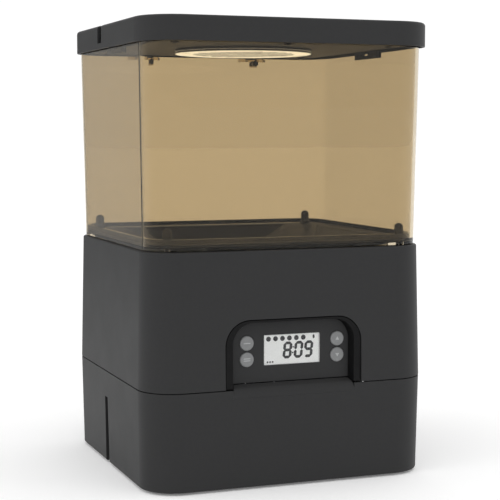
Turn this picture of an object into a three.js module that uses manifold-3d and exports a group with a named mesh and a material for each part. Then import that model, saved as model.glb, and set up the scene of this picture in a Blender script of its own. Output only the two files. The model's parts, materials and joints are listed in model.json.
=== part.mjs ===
// Automatic pet feeder: a see-through food tank on a round-cornered body with a display in the front
// and a feeding bay with a pull-out bowl in the back. Millimetres, +Z up, front towards -Y.
import * as THREE from 'three';
import { mergeVertices } from 'three/addons/utils/BufferGeometryUtils.js';
import Module from 'manifold-3d';

const wasm = await Module();
wasm.setup();

// ---- Driving dimensions -----------------------------------------------------------------------

// body
const bodyWidth = 223;
const bodyDepth = 215;
const bodyCorner = 27;
const seamHeight = 74;
const shoulderHeight = 174;
const footHeight = 1.5;
const bodyWall = 2.6;
const deckThickness = 2.6;
const seamGap = 0.6;
const baseTaper = 2.5;
const housingTaper = 4;

// tank and lid
const tankInset = 2.2;
const tankFlare = 5;
const tankWall = 2.5;
const tankTop = 326;
const lidDrop = 4;
const lidRise = 14;
const lidWall = 2;
const lidOverhang = 3.4;
const lidForward = 1.5;
const lidCorner = 30;
const lidEdge = 1.6;
const lidOpenAxisOut = 3;
const hingeSpread = 49;
const hingeRadius = 3;

// side slots
const slotY = 8;
const slotWidthTop = 7.4;
const slotWidthBottom = 9.6;
const slotTop = 53;

// display recess
const mouthWidth = 107;
const mouthTop = 124;
const mouthRadius = 19;
const frameSide = 5.2;
const frameTop = 1.7;
const recessDepth = 8;
const recessDraft = 2.7;
const sillRise = 2.6;
const panelThickness = 2.4;
const displayX = 1;
const displayZ = 100.2;
const displayWidth = 44.4;
const displayHeight = 22.4;
const buttonRadius = 5.4;
const buttonSpread = 35.8;
const buttonPitch = 12;
const buttonProud = 1.2;
const buttonFlange = 1.2;
const buttonTravel = 1;

// hopper floor, rotor and drive
const hopperRise = 5;
const hopperFall = 27;
const hopperLedge = 12.88;
const hopperCorner = 24;
const chamberRadius = 56;
const chamberDepth = 34;
const chamberWall = 2.4;
const rotorClearance = 1;
const vaneCount = 6;
const vaneThickness = 2;
const hubRadius = 10;
const shaftRadius = 3;
const gearModule = 1.25;
const gearTeeth = 36;
const pinionTeeth = 16;
const gearWidth = 5;
const gearDrop = 7.5;
const motorLength = 49.4;
const motorRadius = 16;
const motorShaftRadius = 2.4;

// feeding bay and bowl
const bayWidth = 128;
const bayDrop = 12;
const bayFront = 24.2;
const bayRadius = 20;
const bayWall = 2.2;
const bowlReach = 44;
const bowlHeight = 41.6;
const bowlWall = 2.4;
const bowlCorner = 18;
const insertWall = 1.2;

// batteries
const cellRadius = 16.8;
const cellLength = 61.5;
const cellCount = 3;
const cellSpacing = 2.9;
const cellInset = 55.5;
const trayWall = 1.8;

// fasteners and fits
const gap = 0.3;
const runningGap = 0.3;
const postInsetX = 13.38;
const postInsetY = 10.38;
const postRadius = 4.5;
const domeHeight = 11;
const domeRadius = 3.4;
const boltRadius = 1.5;
const footInsetX = 25.5;
const footInsetY = 15.5;
const footRadius = 7;

// ---- Derived sizes ----------------------------------------------------------------------------

const frontY = -bodyDepth / 2;
const rearY = bodyDepth / 2;
const footX = bodyWidth / 2 - footInsetX;
const footY = bodyDepth / 2 - footInsetY;
const baseBottom = footHeight;
const baseFloor = baseBottom + bodyWall;
const baseTop = seamHeight - seamGap;
const deckBottom = shoulderHeight - deckThickness;
const tankBottom = shoulderHeight + gap;
const hopperTop = shoulderHeight + hopperRise;
const hopperBottom = hopperTop - hopperFall;
const chamberTop = hopperBottom - 2;
const chamberFloor = chamberTop - chamberDepth;
const gearBottom = chamberFloor - gearDrop;
const bayTop = chamberFloor - bayDrop;
const cellPitch = 2 * cellRadius + cellSpacing;
const cellY = frontY + cellInset;
const lidBottom = tankTop - lidDrop;
const lidTop = tankTop + lidRise;
const lidWidth = bodyWidth + lidOverhang;
const lidDepth = bodyDepth + lidOverhang + 2.6;
const lidRear = lidDepth / 2 - lidForward;
const hingeY = lidRear + lidOpenAxisOut;
const hingeZ = lidBottom + 2;
const panelFront = frontY + recessDepth;
const panelBack = panelFront + panelThickness;
const gearRadius = gearModule * gearTeeth / 2;
const pinionRadius = gearModule * pinionTeeth / 2;
const gearAddendum = gearModule * 0.95;
const driveDistance = gearRadius + pinionRadius + 0.15;
const bowlFront = bayFront + 2.4;
const bowlRear = rearY + bowlReach;
const bowlWidth = bayWidth - 7;
const originShift = (lidDepth / 2 + lidForward - bowlRear) / 2;

// ---- Looks ------------------------------------------------------------------------------------

const looks = {
  charcoal: { color: 0x35363a, roughness: 0.55, metalness: 0 },
  blackPlastic: { color: 0x17181a, roughness: 0.5, metalness: 0 },
  smokedAmber: { color: 0xb59a6c, roughness: 0.12, metalness: 0, transparent: true, opacity: 0.5 },
  rubber: { color: 0x1b1b1c, roughness: 0.85, metalness: 0 },
  silicone: { color: 0xd8d4c8, roughness: 0.7, metalness: 0 },
  paleCover: { color: 0xe9e6cf, roughness: 0.3, metalness: 0 },
  paper: { color: 0xdedbd0, roughness: 0.9, metalness: 0 },
  greyButton: { color: 0x85878a, roughness: 0.5, metalness: 0 },
  clear: { color: 0xdfe6e8, roughness: 0.05, metalness: 0, transparent: true, opacity: 0.3 },
  lcd: { color: 0xc3c8c0, roughness: 0.35, metalness: 0 },
  board: { color: 0x1f5a36, roughness: 0.5, metalness: 0 },
  steel: { color: 0xb9bbbd, roughness: 0.3, metalness: 1 },
  brass: { color: 0xb8974a, roughness: 0.35, metalness: 1 },
  whiteNylon: { color: 0xe6e4dc, roughness: 0.5, metalness: 0 },
  cell: { color: 0x2c3f57, roughness: 0.35, metalness: 0.4 },
};

// ---- Shape helpers ----------------------------------------------------------------------------

function roundedRect(width, depth, radius, segments = 5) {
  const hw = width / 2;
  const hd = depth / 2;
  const points = [];
  const corners = [[hw - radius, hd - radius, 0], [radius - hw, hd - radius, 1],
    [radius - hw, radius - hd, 2], [hw - radius, radius - hd, 3]];
  for (const [cx, cy, quarter] of corners) {
    for (let i = 0; i <= segments; i += 1) {
      const angle = (quarter + i / segments) * Math.PI / 2;
      points.push(new THREE.Vector2(cx + radius * Math.cos(angle), cy + radius * Math.sin(angle)));
    }
  }
  return new THREE.Shape(points);
}

function prism(shape, low, high) {
  const geometry = new THREE.ExtrudeGeometry(shape, { depth: high - low, bevelEnabled: false });
  return geometry.translate(0, 0, low);
}

// prism between two sizes of one rounded rectangle, so its sides lean
function leaningPrism(bottom, top, low, high) {
  const geometry = prism(roundedRect(bottom.width, bottom.depth, bottom.corner), low, high);
  const position = geometry.attributes.position;
  for (let i = 0; i < position.count; i += 1) {
    if (position.getZ(i) > (low + high) / 2) {
      position.setX(i, position.getX(i) * top.width / bottom.width);
      position.setY(i, position.getY(i) * top.depth / bottom.depth);
    }
  }
  return geometry;
}

// outline in the XZ plane: straight sides, flat bottom, rounded top corners
function archShape(halfWidth, low, high, radius, segments = 6) {
  const points = [new THREE.Vector2(-halfWidth, low), new THREE.Vector2(halfWidth, low)];
  for (const [cx, start] of [[halfWidth - radius, 0], [radius - halfWidth, 1]]) {
    for (let i = 0; i <= segments; i += 1) {
      const angle = (start + i / segments) * Math.PI / 2;
      points.push(new THREE.Vector2(cx + radius * Math.cos(angle), high - radius + radius * Math.sin(angle)));
    }
  }
  return new THREE.Shape(points);
}

// extrusion of an XZ outline along Y, from the near to the far value
function alongY(shape, near, far) {
  const geometry = new THREE.ExtrudeGeometry(shape, { depth: far - near, bevelEnabled: false });
  return geometry.rotateX(Math.PI / 2).translate(0, far, 0);
}

function box(x0, x1, y0, y1, z0, z1) {
  const geometry = new THREE.BoxGeometry(x1 - x0, y1 - y0, z1 - z0);
  return geometry.translate((x0 + x1) / 2, (y0 + y1) / 2, (z0 + z1) / 2);
}

function post(radius, x, y, low, high, sides = 12) {
  const geometry = new THREE.CylinderGeometry(radius, radius, high - low, sides);
  return geometry.rotateX(Math.PI / 2).translate(x, y, (low + high) / 2);
}

function rod(radius, x, z, near, far, sides = 12) {
  const geometry = new THREE.CylinderGeometry(radius, radius, far - near, sides);
  return geometry.translate(x, (near + far) / 2, z);
}

function crossPin(radius, y, z, left, right, sides = 12) {
  const geometry = new THREE.CylinderGeometry(radius, radius, right - left, sides);
  return geometry.rotateZ(Math.PI / 2).translate((left + right) / 2, y, z);
}

// solid of revolution about Z from [radius, z] pairs that start and end on the axis
function turned(profile, segments = 18) {
  const points = profile.map(([radius, z]) => new THREE.Vector2(radius, z));
  return new THREE.LatheGeometry(points, segments).rotateX(Math.PI / 2);
}

function solid(geometry) {
  if (!(geometry instanceof THREE.BufferGeometry)) {
    return geometry;
  }
  const plain = geometry.index ? geometry.toNonIndexed() : geometry.clone();
  plain.deleteAttribute('normal');
  plain.deleteAttribute('uv');
  const merged = mergeVertices(plain, 1e-4);
  const mesh = new wasm.Mesh({
    numProp: 3,
    vertProperties: new Float32Array(merged.attributes.position.array),
    triVerts: new Uint32Array(merged.index.array),
  });
  return new wasm.Manifold(mesh);
}

function join(...shapes) {
  return shapes.map(solid).reduce((sum, shape) => sum.add(shape));
}

function cut(body, ...tools) {
  return tools.map(solid).reduce((rest, tool) => rest.subtract(tool), solid(body));
}

function toGeometry(shape) {
  if (shape instanceof THREE.BufferGeometry) {
    return shape;
  }
  const mesh = shape.getMesh();
  const geometry = new THREE.BufferGeometry();
  const stride = mesh.numProp;
  const position = new Float32Array(mesh.numVert * 3);
  for (let i = 0; i < mesh.numVert; i += 1) {
    for (let k = 0; k < 3; k += 1) {
      position[i * 3 + k] = mesh.vertProperties[i * stride + k];
    }
  }
  geometry.setAttribute('position', new THREE.BufferAttribute(position, 3));
  geometry.setIndex(new THREE.BufferAttribute(new Uint32Array(mesh.triVerts), 1));
  geometry.computeVertexNormals();
  return geometry;
}

const feeder = new THREE.Group();
feeder.name = 'pet_feeder';
feeder.position.y = originShift;

function part(name, shape, look) {
  const mesh = new THREE.Mesh(toGeometry(shape), new THREE.MeshStandardMaterial(looks[look]));
  mesh.name = name;
  feeder.add(mesh);
}

// ---- Body sections at a height ----------------------------------------------------------------

function size(width, depth, corner) {
  return { width, depth, corner };
}

function shrink(outline, wall) {
  return size(outline.width - 2 * wall, outline.depth - 2 * wall, Math.max(outline.corner - wall, 2));
}

function blend(a, b, share) {
  const mix = (from, to) => from + (to - from) * share;
  return size(mix(a.width, b.width), mix(a.depth, b.depth), mix(a.corner, b.corner));
}

const seamSize = size(bodyWidth, bodyDepth, bodyCorner);
const floorSize = size(bodyWidth - baseTaper, bodyDepth - baseTaper, bodyCorner);
const shoulderSize = size(bodyWidth - housingTaper, bodyDepth - housingTaper, bodyCorner);
const tankLowSize = shrink(shoulderSize, tankInset);
const tankHighSize = size(tankLowSize.width + tankFlare, tankLowSize.depth + tankFlare, tankLowSize.corner);

function housingAt(z) {
  return blend(seamSize, shoulderSize, (z - seamHeight) / (shoulderHeight - seamHeight));
}

function tankInsideAt(z) {
  return shrink(blend(tankLowSize, tankHighSize, (z - tankBottom) / (tankTop - tankBottom)), tankWall);
}

const hopperMouth = tankInsideAt(hopperTop);
const hopperSize = size(hopperMouth.width - 2 * hopperLedge, hopperMouth.depth - 2 * hopperLedge,
  hopperCorner);
const postX = hopperMouth.width / 2 - postInsetX;
const postY = hopperMouth.depth / 2 - postInsetY;

function straightPrism(outline, low, high) {
  return prism(roundedRect(outline.width, outline.depth, outline.corner), low, high);
}

function fourCorners(x, y) {
  return [[x, y], [-x, y], [-x, -y], [x, -y]];
}

// ---- Base -------------------------------------------------------------------------------------

const basePostX = bodyWidth / 2 - 14.5;
const basePostY = 50;
const baseScrewHead = 3;
const footRecess = 1.1;
const slotReach = 2;
const inletX = bayWidth / 2 + 12;
const inletZ = 26;
const inletRadius = 5.5;
const sillHalfWidth = mouthWidth / 2 - gap - frameSide - recessDraft - gap;
const trayHalfWidth = (cellCount - 1) / 2 * cellPitch + cellRadius + 3.4 + trayWall;
const trayFront = cellY - cellLength / 2 - 10;
const trayRear = cellY + cellLength / 2 + 11;
const trayTop = baseFloor + 0.1 + 2 * cellRadius + 0.5 + trayWall;

// arch through the back wall, from the given height up
function rearMouth(low) {
  const arch = archShape(bayWidth / 2 + bayWall + gap, low, bayTop + bayWall + gap, bayRadius);
  return alongY(arch, rearY - 12, rearY + 4);
}

function sideSlot(side) {
  const low = baseBottom - 1;
  const outline = new THREE.Shape([
    new THREE.Vector2(-slotWidthBottom / 2, low),
    new THREE.Vector2(slotWidthBottom / 2, low),
    new THREE.Vector2(slotWidthTop / 2, slotTop),
    new THREE.Vector2(-slotWidthTop / 2, slotTop),
  ]);
  const depth = slotReach + bodyWall + baseTaper;
  const slot = alongY(outline, 0, depth).rotateZ(Math.PI / 2);
  const outer = side * (bodyWidth / 2 + slotReach);
  return slot.translate(side > 0 ? outer : outer + depth, slotY, 0);
}

// ramp from the base's front edge up to the foot of the display panel
function sill() {
  const outline = new THREE.Shape([
    new THREE.Vector2(frontY + 0.35, baseTop - 1),
    new THREE.Vector2(panelFront - gap, baseTop - 1),
    new THREE.Vector2(panelFront - gap, seamHeight + sillRise),
    new THREE.Vector2(frontY + 0.35, baseTop),
  ]);
  const ramp = new THREE.ExtrudeGeometry(outline, { depth: 2 * sillHalfWidth, bevelEnabled: false });
  const deck = box(-sillHalfWidth, sillHalfWidth, frontY + 1, panelFront - gap, baseTop - 3, baseTop - 0.9);
  ramp.rotateX(Math.PI / 2).rotateZ(Math.PI / 2).translate(-sillHalfWidth, 0, 0);
  return join(ramp, deck);
}

function base() {
  const outer = leaningPrism(floorSize, seamSize, baseBottom, baseTop);
  const inner = leaningPrism(shrink(floorSize, bodyWall), shrink(seamSize, bodyWall), baseFloor,
    baseTop + 0.01);
  const posts = fourCorners(basePostX, basePostY).map(([x, y]) => post(postRadius, x, y,
    baseFloor - 1, baseTop));
  const screwHoles = fourCorners(basePostX, basePostY).flatMap(([x, y]) => [
    post(boltRadius + gap, x, y, baseBottom - 1, baseTop + 1),
    post(baseScrewHead + gap, x, y, baseBottom - 1, baseBottom + 2.2),
  ]);
  const feet = fourCorners(footX, footY).map(([x, y]) => post(footRadius + gap, x, y, 0,
    baseBottom + footRecess));
  const bayMouth = rearMouth(baseFloor);
  const cellOpening = box(-trayHalfWidth + trayWall, trayHalfWidth - trayWall, trayFront + trayWall,
    trayRear - trayWall, 0, baseFloor + 1);
  const inlet = rod(inletRadius + gap, inletX, inletZ, rearY - 8, rearY + 2);
  const shell = cut(outer, inner);
  return cut(join(shell, sill(), ...posts), ...screwHoles, ...feet, bayMouth, cellOpening, inlet,
    sideSlot(-1), sideSlot(1));
}

function foot(x, y) {
  const top = baseBottom + footRecess - gap;
  const profile = [[0, 0], [footRadius - 1, 0], [footRadius, 0.8], [footRadius, top], [0, top]];
  return turned(profile).translate(x, y, 0);
}

function powerInlet() {
  const barrel = rod(inletRadius, inletX, inletZ, rearY - 16, rearY - 1.4, 24);
  const body = box(inletX - 6, inletX + 6, rearY - 22, rearY - 10, inletZ - 7, inletZ + 7);
  const socket = rod(inletRadius - 2, inletX, inletZ, rearY - 10, rearY + 2);
  const pin = rod(1, inletX, inletZ, rearY - 11, rearY - 2.5, 12);
  return join(cut(join(barrel, body), socket), pin);
}

// ---- Battery compartment ----------------------------------------------------------------------

const doorScrewX = cellPitch / 2;
const doorScrewY = trayRear - trayWall - 4.2;
const doorTop = baseFloor - 0.2;
const cellZ = doorTop + gap + cellRadius;

function batteryTray() {
  const shell = cut(
    box(-trayHalfWidth, trayHalfWidth, trayFront, trayRear, baseFloor + gap, trayTop),
    box(-trayHalfWidth + trayWall, trayHalfWidth - trayWall, trayFront + trayWall, trayRear - trayWall,
      0, trayTop - trayWall),
  );
  const boss = post(3.2, doorScrewX, doorScrewY, doorTop + gap, trayTop - 1);
  const hole = post(1.5, doorScrewX, doorScrewY, 0, 20, 12);
  return cut(join(shell, boss), hole);
}

function batteryDoor() {
  const plate = box(-trayHalfWidth + trayWall + gap, trayHalfWidth - trayWall - gap,
    trayFront + trayWall + gap, trayRear - trayWall - gap, baseBottom + 0.2, doorTop);
  const hole = post(1.6, doorScrewX, doorScrewY, 0, 10, 12);
  const headRoom = post(2.9, doorScrewX, doorScrewY, 0, baseBottom + 1.5, 16);
  const grips = [0, 1, 2].map((i) => box(-12, 12, trayFront + 8 + i * 4, trayFront + 10 + i * 4,
    0, baseBottom + 0.8));
  return cut(plate, hole, headRoom, ...grips);
}

function doorScrew() {
  return join(
    post(2.6, doorScrewX, doorScrewY, baseBottom + 0.3, baseBottom + 1.3, 16),
    post(1.1, doorScrewX, doorScrewY, baseBottom + 1, 16, 12),
  );
}

function cell(index) {
  const x = (index - (cellCount - 1) / 2) * cellPitch;
  const half = cellLength / 2;
  const can = turned([[0, -half], [cellRadius - 1.5, -half], [cellRadius, -half + 1],
    [cellRadius, half - 3.2], [cellRadius - 1.5, half - 1.6], [4.6, half - 1.6], [4.6, half], [0, half]], 16);
  const turn = index % 2 === 0 ? 1 : -1;
  return can.rotateX(turn * Math.PI / 2).translate(x, cellY, cellZ);
}

// ---- Housing ----------------------------------------------------------------------------------

const housingPostBottom = seamHeight + 0.6;
const postLength = 39;
const screwReach = 21;
const deckLedge = 5;
const deckOpening = size(hopperSize.width + 2 * deckLedge, hopperSize.depth + 2 * deckLedge, 32);

function housing() {
  const outer = leaningPrism(seamSize, shoulderSize, seamHeight, shoulderHeight);
  const inner = leaningPrism(shrink(seamSize, bodyWall), shrink(housingAt(deckBottom), bodyWall),
    seamHeight - 0.01, deckBottom);
  const opening = straightPrism(deckOpening, deckBottom - 1, shoulderHeight + 1);
  const cornerPosts = fourCorners(postX, postY).map(([x, y]) => post(postRadius, x, y,
    deckBottom - postLength, deckBottom + 1));
  const cornerHoles = fourCorners(postX, postY).map(([x, y]) => post(boltRadius + gap, x, y,
    deckBottom - screwReach - 4, shoulderHeight + 1));
  const sidePosts = fourCorners(basePostX, basePostY).flatMap(([x, y]) => {
    const outside = Math.sign(x) * (bodyWidth / 2 - 1.2);
    return [
      post(postRadius, x, y, housingPostBottom, seamHeight + 26),
      box(Math.min(x, outside), Math.max(x, outside), y - 1, y + 1, housingPostBottom, seamHeight + 26),
    ];
  });
  const sideHoles = fourCorners(basePostX, basePostY).map(([x, y]) => post(boltRadius + gap, x, y,
    seamHeight - 1, seamHeight + 20));
  const bayMouth = rearMouth(seamHeight - 5);
  const frontMouth = alongY(archShape(mouthWidth / 2, seamHeight - 5, mouthTop, mouthRadius),
    frontY - 4, frontY + 6);
  const shell = cut(outer, inner, opening);
  return cut(join(shell, ...cornerPosts, ...sidePosts), ...cornerHoles, ...sideHoles, bayMouth, frontMouth);
}

function displayFrame() {
  const halfWidth = mouthWidth / 2 - gap;
  const outer = archShape(halfWidth, seamHeight + gap, mouthTop - gap, mouthRadius - gap);
  const innerHalf = halfWidth - frameSide;
  const innerTop = mouthTop - gap - frameTop;
  const back = panelFront - gap;
  const front = frontY + 1.1;
  const pocket = alongY(archShape(innerHalf, seamHeight - 4, innerTop, mouthRadius - 3), front - 1, back + 1);
  const position = pocket.attributes.position;
  const shrinkX = (innerHalf - recessDraft) / innerHalf;
  for (let i = 0; i < position.count; i += 1) {
    if (position.getY(i) > (front + back) / 2) {
      position.setX(i, position.getX(i) * shrinkX);
      position.setZ(i, Math.min(position.getZ(i), position.getZ(i) - (position.getZ(i) - displayZ) * 0.03));
    }
  }
  return cut(alongY(outer, front, back), pocket);
}

const buttonPlaces = [
  ['button_upper_left', -1, 1],
  ['button_lower_left', -1, -1],
  ['button_upper_right', 1, 1],
  ['button_lower_right', 1, -1],
].map(([name, side, level]) => [name, displayX + side * buttonSpread, displayZ + level * buttonPitch / 2]);

const boardScrewX = 48;
const boardScrewZ = 17;
const boardThickness = 1.6;
const padThickness = 1.5;
const boardFront = panelBack + gap + buttonFlange + buttonTravel + 0.1 + padThickness + gap;
const boardPlaces = fourCorners(boardScrewX, boardScrewZ).map(([x, z]) => [x + displayX, z + displayZ]);

function displayPanel() {
  const low = seamHeight + sillRise + 0.6;
  const plate = alongY(archShape(mouthWidth / 2 + 2.4, low, mouthTop + 2, mouthRadius),
    panelFront, panelBack);
  const window = box(displayX - displayWidth / 2, displayX + displayWidth / 2, panelFront - 1, panelBack + 1,
    displayZ - displayHeight / 2, displayZ + displayHeight / 2);
  const holes = buttonPlaces.map(([, x, z]) => rod(buttonRadius + 0.2, x, z, panelFront - 1,
    panelBack + 1, 16));
  const bosses = boardPlaces.map(([x, z]) => rod(3, x, z, panelBack - 0.5, boardFront - gap, 16));
  const pilots = boardPlaces.map(([x, z]) => rod(1.3, x, z, panelFront + 1.2, boardFront + 1, 12));
  return cut(join(plate, ...bosses), window, ...holes, ...pilots);
}

function lcdWindow() {
  return box(displayX - displayWidth / 2 + gap, displayX + displayWidth / 2 - gap, panelFront, panelFront + 1,
    displayZ - displayHeight / 2 + gap, displayZ + displayHeight / 2 - gap);
}

function lcdModule() {
  const face = box(displayX - displayWidth / 2 + gap, displayX + displayWidth / 2 - gap,
    panelFront + 1.3, panelBack + gap + 0.2,
    displayZ - displayHeight / 2 + gap, displayZ + displayHeight / 2 - gap);
  const body = box(displayX - displayWidth / 2 - 3.2, displayX + displayWidth / 2 + 3.2, panelBack + gap,
    boardFront - gap, displayZ - displayHeight / 2 - 3.5, displayZ + displayHeight / 2 + 3.5);
  return join(face, body);
}

function button(x, z) {
  const front = panelFront - buttonProud;
  const flange = panelBack + gap;
  const cap = turned([[0, 0], [buttonRadius - 0.8, 0], [buttonRadius, 0.7], [buttonRadius, flange - front],
    [buttonRadius + 0.45, flange - front], [buttonRadius + 0.45, flange - front + buttonFlange],
    [0, flange - front + buttonFlange]]);
  return cap.rotateX(-Math.PI / 2).translate(x, front, z);
}

function buttonPad(side) {
  const x = displayX + side * buttonSpread;
  const front = boardFront - gap - padThickness;
  const sheet = box(x - 7, x + 7, front + 0.6, front + padThickness, displayZ - 13, displayZ + 13);
  const domes = [-1, 1].map((level) => rod(3.4, x, displayZ + level * buttonPitch / 2, front, front + 0.9));
  return join(sheet, ...domes);
}

function controlBoard() {
  const back = boardFront + boardThickness;
  const sheet = box(displayX - 53, displayX + 53, boardFront, back, displayZ - 21, displayZ + 21);
  const chip = box(displayX - 7, displayX + 7, back - 0.2, back + 1.6, displayZ - 6, displayZ + 8);
  const driver = box(displayX + 20, displayX + 28, back - 0.2, back + 1.5, displayZ - 4, displayZ + 6);
  const plug = box(displayX - 36, displayX - 22, back - 0.2, back + 5, displayZ - 17, displayZ - 11);
  const buzzer = rod(6, displayX + 38, displayZ - 8, back - 0.2, back + 6);
  const can = rod(3.2, displayX - 30, displayZ + 6, back - 0.2, back + 9);
  const holes = boardPlaces.map(([x, z]) => rod(1.6, x, z, boardFront - 1, back + 1, 12));
  return cut(join(sheet, chip, driver, plug, buzzer, can), ...holes);
}

// ---- Hopper floor, rotor and drive ------------------------------------------------------------

// prism whose outline runs from a rounded rectangle at the top to a circle at the bottom
function hopperPrism(outline, radius, low, high, steps = 2) {
  const shape = roundedRect(outline.width, outline.depth, outline.corner, 4);
  const geometry = new THREE.ExtrudeGeometry(shape, { depth: high - low, steps, bevelEnabled: false });
  geometry.translate(0, 0, low);
  const position = geometry.attributes.position;
  for (let i = 0; i < position.count; i += 1) {
    const x = position.getX(i);
    const y = position.getY(i);
    const reach = Math.hypot(x, y);
    const share = (position.getZ(i) - low) / (high - low);
    const scale = share + (1 - share) * radius / reach;
    position.setX(i, x * scale);
    position.setY(i, y * scale);
  }
  return geometry;
}

function hopperFloor() {
  const plateSize = shrink(tankInsideAt(hopperTop - 2), gap + 0.2);
  const plate = straightPrism(plateSize, hopperTop - 2, hopperTop);
  const wall = 2;
  const outside = size(hopperSize.width + 2 * wall, hopperSize.depth + 2 * wall, hopperCorner + wall);
  const funnel = hopperPrism(outside, chamberRadius + wall, hopperBottom, hopperTop);
  const hollow = hopperPrism(hopperSize, chamberRadius, hopperBottom - 0.02, hopperTop + 0.02);
  const collar = post(chamberRadius + chamberWall, 0, 0, chamberTop + gap, hopperBottom + 1, 30);
  const bore = post(chamberRadius, 0, 0, chamberTop - 2, hopperBottom + 1.5, 30);
  const holes = fourCorners(postX, postY).map(([x, y]) => post(boltRadius + gap, x, y,
    hopperTop - 4, hopperTop + 1));
  return cut(join(plate, funnel, collar), hollow, bore, ...holes);
}

function tankSeal() {
  const low = hopperTop + gap;
  const outline = shrink(tankInsideAt(low), gap);
  return cut(straightPrism(outline, low, low + 3.6), straightPrism(shrink(outline, 2.2), low - 1, low + 5));
}

// long screw with a domed head, through the hopper floor into a housing post
function tankScrew(x, y) {
  const head = hopperTop + gap;
  const top = head + domeHeight;
  const tip = deckBottom - screwReach;
  const profile = [[0, tip], [boltRadius, tip], [boltRadius, head], [domeRadius + 0.8, head],
    [domeRadius + 0.8, head + 1.6], [domeRadius, head + 2], [domeRadius, top - 3.2],
    [domeRadius * 0.8, top - 1.2], [domeRadius * 0.4, top - 0.2], [0, top]];
  return turned(profile, 10).translate(x, y, 0);
}

const chuteWall = 1.8;
const gearClearance = 2.5;
const outletFront = gearRadius + gearAddendum + gearClearance + chuteWall;
const outletRear = chamberRadius - 4;
const outletHalf = 21;

function rotorChamber() {
  const cup = cut(
    post(chamberRadius + chamberWall, 0, 0, chamberFloor, chamberTop, 30),
    post(chamberRadius, 0, 0, chamberFloor + chamberWall, chamberTop + 1, 30),
  );
  const outlet = box(-outletHalf, outletHalf, outletFront, outletRear - 2, chamberFloor - 1,
    chamberFloor + 6);
  const bearing = post(shaftRadius + 3 + gap, 0, 0, chamberFloor - 1, chamberFloor + 6);
  const bracketHoles = bracketPosts.map(([x, y]) => post(1.3, x, y, chamberFloor - 1,
    chamberFloor + 1.6, 12));
  return cut(cup, outlet, bearing, ...bracketHoles);
}

function outletShield() {
  const inner = hubRadius + 6;
  const outer = chamberRadius - gap - 0.2;
  const spread = THREE.MathUtils.degToRad(36);
  const shape = new THREE.Shape();
  shape.absarc(0, 0, outer, Math.PI / 2 - spread, Math.PI / 2 + spread, false);
  shape.absarc(0, 0, inner, Math.PI / 2 + spread, Math.PI / 2 - spread, true);
  shape.closePath();
  return new THREE.ExtrudeGeometry(shape, { depth: 2, bevelEnabled: false, curveSegments: 8 })
    .translate(0, 0, chamberTop - 2.4);
}

function portionRotor() {
  const low = chamberFloor + chamberWall + rotorClearance;
  const high = chamberTop - 4.4;
  const reach = chamberRadius - rotorClearance;
  const vanes = [];
  for (let i = 0; i < vaneCount; i += 1) {
    const angle = (i + 0.5) * 2 * Math.PI / vaneCount;
    vanes.push(box(0, reach, -vaneThickness / 2, vaneThickness / 2, low, high).rotateZ(angle));
  }
  const hub = post(hubRadius, 0, 0, low, high, 24);
  return cut(join(hub, ...vanes), post(shaftRadius + gap, 0, 0, low - 1, high + 1));
}

// rounded cap on the hub, with fingers that keep the food moving
function stirrer() {
  const low = chamberTop - 4.1;
  const dome = turned([[0, low], [hubRadius, low], [hubRadius, low + 4], [hubRadius - 3, low + 9],
    [3, low + 13], [0, low + 13.5]], 24);
  const fingers = [0, 1, 2].map((i) => box(2, 30, -1.8, 1.8, chamberTop + 3, chamberTop + 6)
    .rotateZ(i * 2 * Math.PI / 3));
  return join(dome, ...fingers);
}

function rotorShaft() {
  return post(shaftRadius, 0, 0, gearBottom - 0.8, chamberTop - 4.8);
}

function shaftBushing() {
  const ring = turned([[0, chamberFloor - 1], [shaftRadius + 4.6, chamberFloor - 1],
    [shaftRadius + 4.6, chamberFloor - gap], [shaftRadius + 3, chamberFloor - gap],
    [shaftRadius + 3, chamberFloor + chamberWall], [0, chamberFloor + chamberWall]], 20);
  return cut(ring, post(shaftRadius + runningGap, 0, 0, chamberFloor - 3, chamberFloor + 6));
}

function gearOutline(teeth, backlash) {
  const pitch = gearModule * teeth / 2;
  const pressure = THREE.MathUtils.degToRad(20);
  const baseCircle = pitch * Math.cos(pressure);
  const tip = pitch + gearAddendum;
  const root = pitch - gearModule * 1.25;
  const involute = (angle) => Math.tan(angle) - angle;
  const halfTooth = Math.PI / (2 * teeth) - backlash / (2 * pitch);
  const pressureAt = (radius) => Math.acos(Math.min(1, baseCircle / radius));
  const halfAngle = (radius) => halfTooth + involute(pressure) - involute(pressureAt(radius));
  const start = Math.max(baseCircle, root);
  const radii = [0, 1].map((share) => start + (tip - start) * share);
  const points = [];
  const add = (radius, angle) => {
    points.push(new THREE.Vector2(radius * Math.cos(angle), radius * Math.sin(angle)));
  };
  for (let i = 0; i < teeth; i += 1) {
    const centre = i * 2 * Math.PI / teeth;
    if (start - root > 0.3) {
      add(root, centre - halfAngle(start));
    }
    radii.forEach((radius) => add(radius, centre - halfAngle(radius)));
    [...radii].reverse().forEach((radius) => add(radius, centre + halfAngle(radius)));
    if (start - root > 0.3) {
      add(root, centre + halfAngle(start));
    }
  }
  return new THREE.Shape(points.filter((point, i) => i === 0 || point.distanceTo(points[i - 1]) > 0.02));
}

function driveGear() {
  const wheel = prism(gearOutline(gearTeeth, 0.3), gearBottom, gearBottom + gearWidth);
  const hub = post(shaftRadius + 4, 0, 0, gearBottom - 0.4, chamberFloor - 1.4, 24);
  const web = cut(post(gearRadius - 4, 0, 0, gearBottom + 3.6, gearBottom + 9, 24),
    post(shaftRadius + 4, 0, 0, gearBottom, gearBottom + 10, 24));
  return cut(join(wheel, hub), web, post(shaftRadius + gap, 0, 0, gearBottom - 2, chamberFloor));
}

function pinion() {
  const wheel = prism(gearOutline(pinionTeeth, 0.3), gearBottom, gearBottom + gearWidth);
  const halfPitch = Math.PI / pinionTeeth;
  const bore = post(motorShaftRadius + gap, 0, 0, gearBottom - 1, gearBottom + gearWidth + 1);
  return cut(wheel.rotateZ(halfPitch), bore).translate([0, -driveDistance, 0]);
}

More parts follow.
